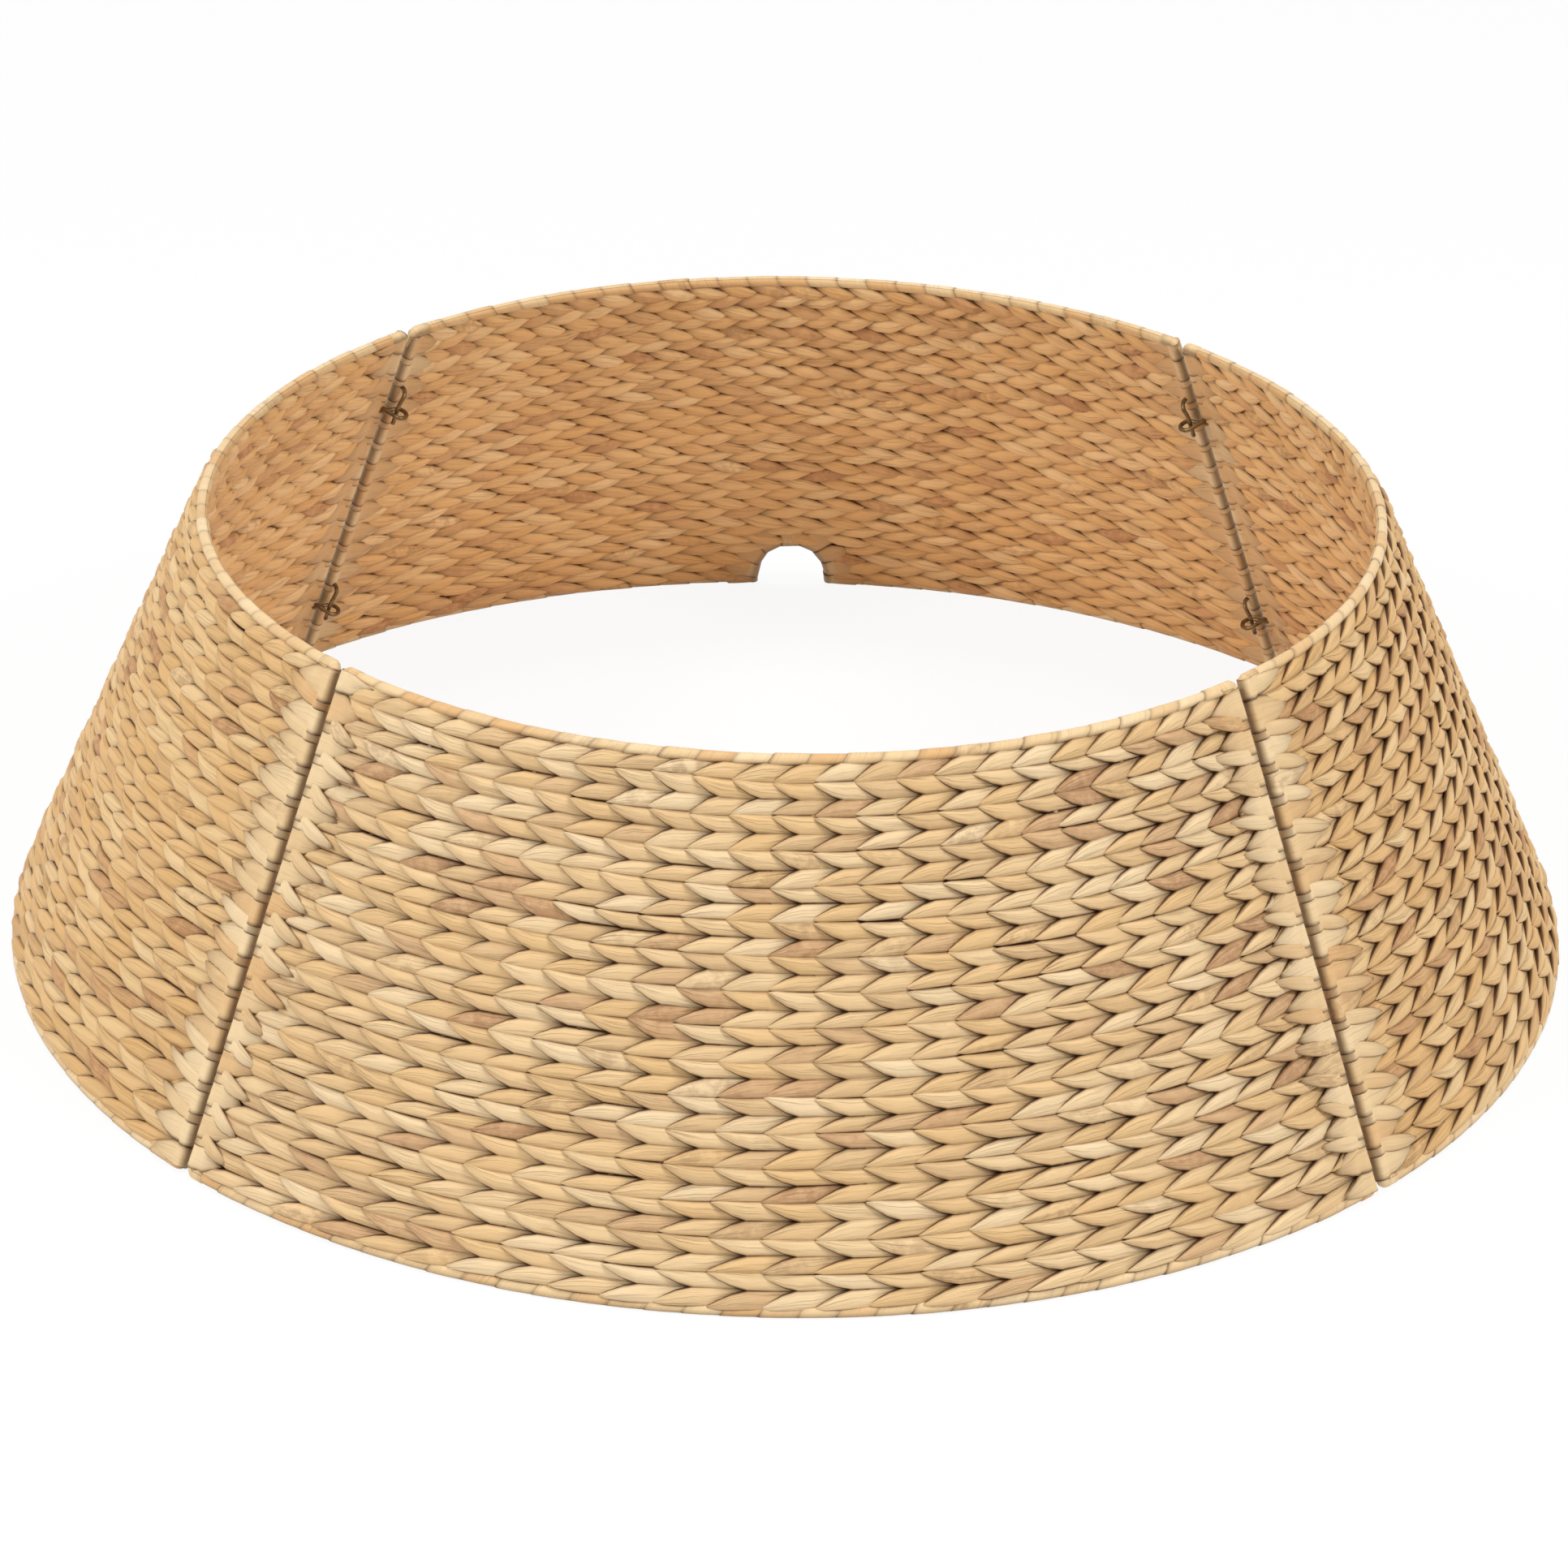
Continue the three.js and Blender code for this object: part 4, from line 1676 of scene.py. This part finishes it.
    def clear_notch(self, mesh: bpy.types.Mesh) -> None:
        """Moves what stands in the notch out to its arch, and flattens it there.

        Args:
            mesh: Mesh of strips or stakes.
        """
        flattened = 0.4
        for vertex in mesh.vertices:
            x, y, z = vertex.co
            middle = WALL.base_radius - z * math.tan(WALL.lean)
            out = (math.hypot(x, y) - middle) * math.cos(WALL.lean)
            climb = max(z - out * math.sin(WALL.lean), 0.0) / math.cos(WALL.lean)
            sideways = (math.atan2(y, x) - self.facing) * WALL.radius(WALL.slope_length - climb)
            share = NOTCH.share(sideways, climb)
            if share < 1:
                growth = max(share, 1e-4) ** (-1 / NOTCH.roundness)
                down = WALL.slope_length - climb * growth
                vertex.co = self.beside(sideways * growth, down, out * flattened)

    def add_core(self) -> None:
        """Adds the dark sheet that closes the wall behind the gaps between strips, painted shade
        for those gaps.
        """
        margin, top, clearing = 6 * MM, 3.5 * MM, 2 * MM
        rows, columns = self.core_cells
        height = WALL.slope_length - 2 * top
        build = bmesh.new()
        grid = []
        for row in range(rows + 1):
            down = top + height * row / rows
            places = [
                WALL.point(self.facing, column / columns, margin, down)
                for column in range(columns + 1)
            ]
            grid.append([build.verts.new(place) for place in places])
        for row in range(rows):
            down = top + height * (row + 0.5) / rows
            for column in range(columns):
                sideways = ((column + 0.5) / columns - 0.5) * QUARTER * WALL.radius(down)
                climb = WALL.slope_length - down
                if self.notched and NOTCH.share(sideways, climb, clearing) < 1:
                    continue
                above, below = grid[row], grid[row + 1]
                corners = (above[column], below[column], below[column + 1], above[column + 1])
                build.faces.new(corners)
        bmesh.ops.delete(build, geom=[v for v in build.verts if not v.link_faces], context="VERTS")
        bmesh.ops.recalc_face_normals(build, faces=build.faces)
        bmesh.ops.solidify(build, geom=build.faces[:], thickness=self.core_half_thickness * 2)
        bmesh.ops.recalc_face_normals(build, faces=build.faces)
        mesh = bpy.data.meshes.new(f"{self.name}_core")
        build.to_mesh(mesh)
        build.free()
        self.add(mesh, f"{self.name}_core", SHADE_CORE_STRIP)

    def add_edge(self, edge: Edge) -> None:
        """Adds the wraps of one upright edge and the wound rod below them.

        A wide wrap goes to every two rows, a narrow one over each of their joints, and
        a short one to the row that is left over at one corner.

        Args:
            edge: Edge of the panel.
        """
        right, seam = edge is Edge.RIGHT, self.seam(edge)
        pitch = 2 * WEAVE.row_pitch(WALL)
        first = WEAVE.top_margin + pitch * (0.5 if right else 1.0)
        girth = HINGED_GIRTH if "back" in seam else LIFTED_GIRTH
        wide = EdgeWrapShape(**girth)
        narrow = replace(NARROW_WRAP, roll_radius=wide.roll_radius - 0.12 * MM)
        corner = replace(
            wide, rise=8.4 * MM if right else 2.5 * MM, drop=2.5 * MM if right else 8 * MM
        )
        lone_down = WALL.slope_length - WEAVE.top_margin if right else WEAVE.top_margin

        def wind(shape: EdgeWrapShape, part: str, seed: int, *nodes: str, **values) -> None:
            """Lays wraps out on this edge and adds them."""
            values.update(pitch=pitch, edge_side=float(edge.value))
            piece = (f"{seam}_{part}", BINDING_STRIP, *nodes)
            self.lay(self.shop.edge, shape.mesh(), piece, seed + edge.value, **values)

        wind(wide, "edge_wraps", 20, f"{seam}_edge_binding", count=self.wraps, first_down=first)
        self.add_rod(edge, wide.roll_radius - wide.joint_step - 0.06 * MM)
        slope = -self.fan_slope if right else self.fan_slope
        joints = {"count": self.wraps - 1, "first_down": first + pitch / 2, "fan_slope": slope}
        wind(narrow, "edge_joints", 25, **joints)
        wind(corner, "corner_wrap", 30, count=1, first_down=lone_down)

    def add_rod(self, edge: Edge, radius: float) -> None:
        """Adds the wound rod that fills an edge below its wraps.

        Args:
            edge: Edge of the panel.
            radius: Radius of the rod.
        """
        end, steps = 10 * MM, 24
        downs = [end + (WALL.slope_length - 2 * end) * step / steps for step in range(steps + 1)]
        side, offset = float(edge.value), WALL.edge_wire_offset
        places = [WALL.point(self.facing, side, offset, down) for down in downs]
        # Tone 1, the brownest of the binding, is painted shade for the rod that shows between the
        # wraps in the seam.
        self.add_tube(f"{self.seam(edge)}_edge_rod", places, radius, 1.0)

    def add_rims(self) -> None:
        """Adds the strips wound round the top and bottom wires."""
        parts = ("_left", "_right") if self.notched else ("",)
        downs = (WALL.rim_down, WALL.slope_length - WALL.rim_down)
        openings, ends = ({}, self.opening(3 * MM, 0.0)), (("",), parts)
        places = zip(("top", "bottom"), downs, self.rim_wraps, openings, ends)
        for place, down, count, opening, ends in places:
            sizes = {"top_margin": down - 0.5, "row_pitch": 1.0, "side_margin": 8 * MM}
            values = {"rows": 1, "columns": count, "girth_variation": 0.07, **sizes}
            nodes = [f"{self.name}_{place}_rim_binding{end}" for end in ends]
            piece = (f"{self.name}_{place}_rim_wraps", BINDING_STRIP, *nodes)
            shape = RimWrapShape().mesh()
            self.lay(self.shop.rows, shape, piece, 40 + count, **values, **UPRIGHT, **opening)

    def add_corners(self) -> None:
        """Adds the bound bends where the edge wires meet the rim wires."""
        bend, reach, steps = 1.6 * MM, 13 * MM, 6
        offset = WALL.edge_wire_offset
        route = [(offset, reach)]
        for step in range(steps + 1):
            turn = QUARTER * step / steps
            margin = offset + bend * (1 - math.cos(turn))
            route.append((margin, WALL.rim_down + bend * (1 - math.sin(turn))))
        route.append((reach, WALL.rim_down))
        for edge in Edge:
            for place in ("top", "bottom"):
                points = []
                for margin, down in route:
                    way = down if place == "top" else WALL.slope_length - down
                    points.append(WALL.point(self.facing, float(edge.value), margin, way))
                label = f"{self.seam(edge)}_{place}_corner"
                self.add_tube(label, points, 3.2 * MM, 0.3 + 0.2 * edge.value)

    def add_notch(self) -> None:
        """Adds the wraps round the arch of the cord notch and the rod below them."""
        last, foot_share = 48, 0.03
        arch = [
            NOTCH.outline(foot_share + (1 - 2 * foot_share) * i / last) for i in range(last + 1)
        ]
        outline = bpy.data.meshes.new("notch outline")
        outline.from_pydata([(x, y, 0.0) for x, y in arch], [(i, i + 1) for i in range(last)], [])
        wrap = add_object("notch wrap", NOTCH_WRAP.mesh())
        piece = ("cord_notch_wraps", BINDING_STRIP, "cord_notch_binding")
        self.lay(self.shop.arch, outline, piece, 800, wrap=wrap, count=9)
        bpy.data.objects.remove(wrap)
        places = [self.beside(x, WALL.slope_length - y) for x, y in arch]
        self.add_tube("cord_notch_rod", places, 3.0 * MM, 0.9)


PANELS = (
    Panel("back", 90, ("left", "right"), Closure.PIN, notched=True, seed=1),
    Panel("left", 180, ("front", "back"), Closure.EYE, seed=2),
    Panel("front", -90, ("right", "left"), Closure.PIN, seed=3, outer_strip=WEAVE_STRIP),
    Panel("right", 0, ("back", "front"), Closure.EYE, seed=4),
)


# Studio


@dataclass(frozen=True)
class Lamp:
    """Soft square lamp that points at the collar."""

    name: str
    place: tuple[float, float, float]
    size: float
    power: float

    def add(self) -> None:
        """Puts the lamp in the scene."""
        data = bpy.data.lights.new(self.name, "AREA")
        data.size = self.size
        data.energy = self.power
        lamp = add_object(self.name, data)
        lamp.location = self.place
        aim = Vector((0.0, 0.0, 0.1)) - Vector(self.place)
        lamp.rotation_euler = aim.to_track_quat("-Z", "Y").to_euler()


@dataclass
class Studio:
    """Camera, lamps, white world and pale floor."""

    eye: tuple[float, float, float] = (0.0, -2.328092, 1.255429)
    right: tuple[float, float, float] = (0.999883, 0.007632, 0.013288)
    up: tuple[float, float, float] = (-0.015304, 0.454294, 0.890720)
    lens: float = 115.45
    world_light: float = 0.36
    floor_reach: float = 6.0
    lamps: tuple[Lamp, ...] = (
        Lamp("left lamp", (-2.7, -1.4, 2.7), 0.9, 68),
        Lamp("right lamp", (2.7, -1.4, 2.7), 0.9, 64),
        Lamp("top lamp", (0.0, 0.2, 3.8), 1.0, 40),
    )

    def build(self) -> None:
        """Adds everything that is not the collar."""
        self.add_camera()
        for lamp in self.lamps:
            lamp.add()
        self.add_world()
        self.add_floor()
        bpy.context.scene.view_settings.view_transform = "Standard"

    def add_camera(self) -> None:
        """Adds the camera at the photograph's angle."""
        right, up = Vector(self.right), Vector(self.up)
        data = bpy.data.cameras.new("camera")
        data.lens = self.lens
        data.clip_end = 50
        camera = add_object("camera", data)
        basis = Matrix((right, up, right.cross(up))).transposed().to_4x4()
        camera.matrix_world = Matrix.Translation(self.eye) @ basis
        bpy.context.scene.camera = camera

    def add_world(self) -> None:
        """Makes a world that lights softly and looks white."""
        world = bpy.data.worlds.new("studio")
        tree = TreeWriter.fresh(world)
        soft, white = (
            tree.read("ShaderNodeBackground", {"Color": WHITE, "Strength": strength})
            for strength in (self.world_light, 1.0)
        )
        tree.backdrop("ShaderNodeOutputWorld", soft, white, 1.0)
        bpy.context.scene.world = world

    def add_floor(self) -> None:
        """Adds the floor under the collar."""
        half = self.floor_reach
        mesh = bpy.data.meshes.new("floor")
        corners = [(-half, -half, 0.0), (half, -half, 0.0), (half, half, 0.0), (-half, half, 0.0)]
        mesh.from_pydata(corners, [], [(0, 1, 2, 3)])
        mesh.materials.append(FloorFinish().build())
        floor = add_object("floor", mesh)


def main() -> None:
    """Builds the studio and dresses the four panels."""
    logging.basicConfig(level=logging.INFO, format="%(message)s")
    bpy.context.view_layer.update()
    Studio().build()
    shop = Workshop()
    for panel in PANELS:
        panel.build(shop)


if __name__ == "__main__":
    main()
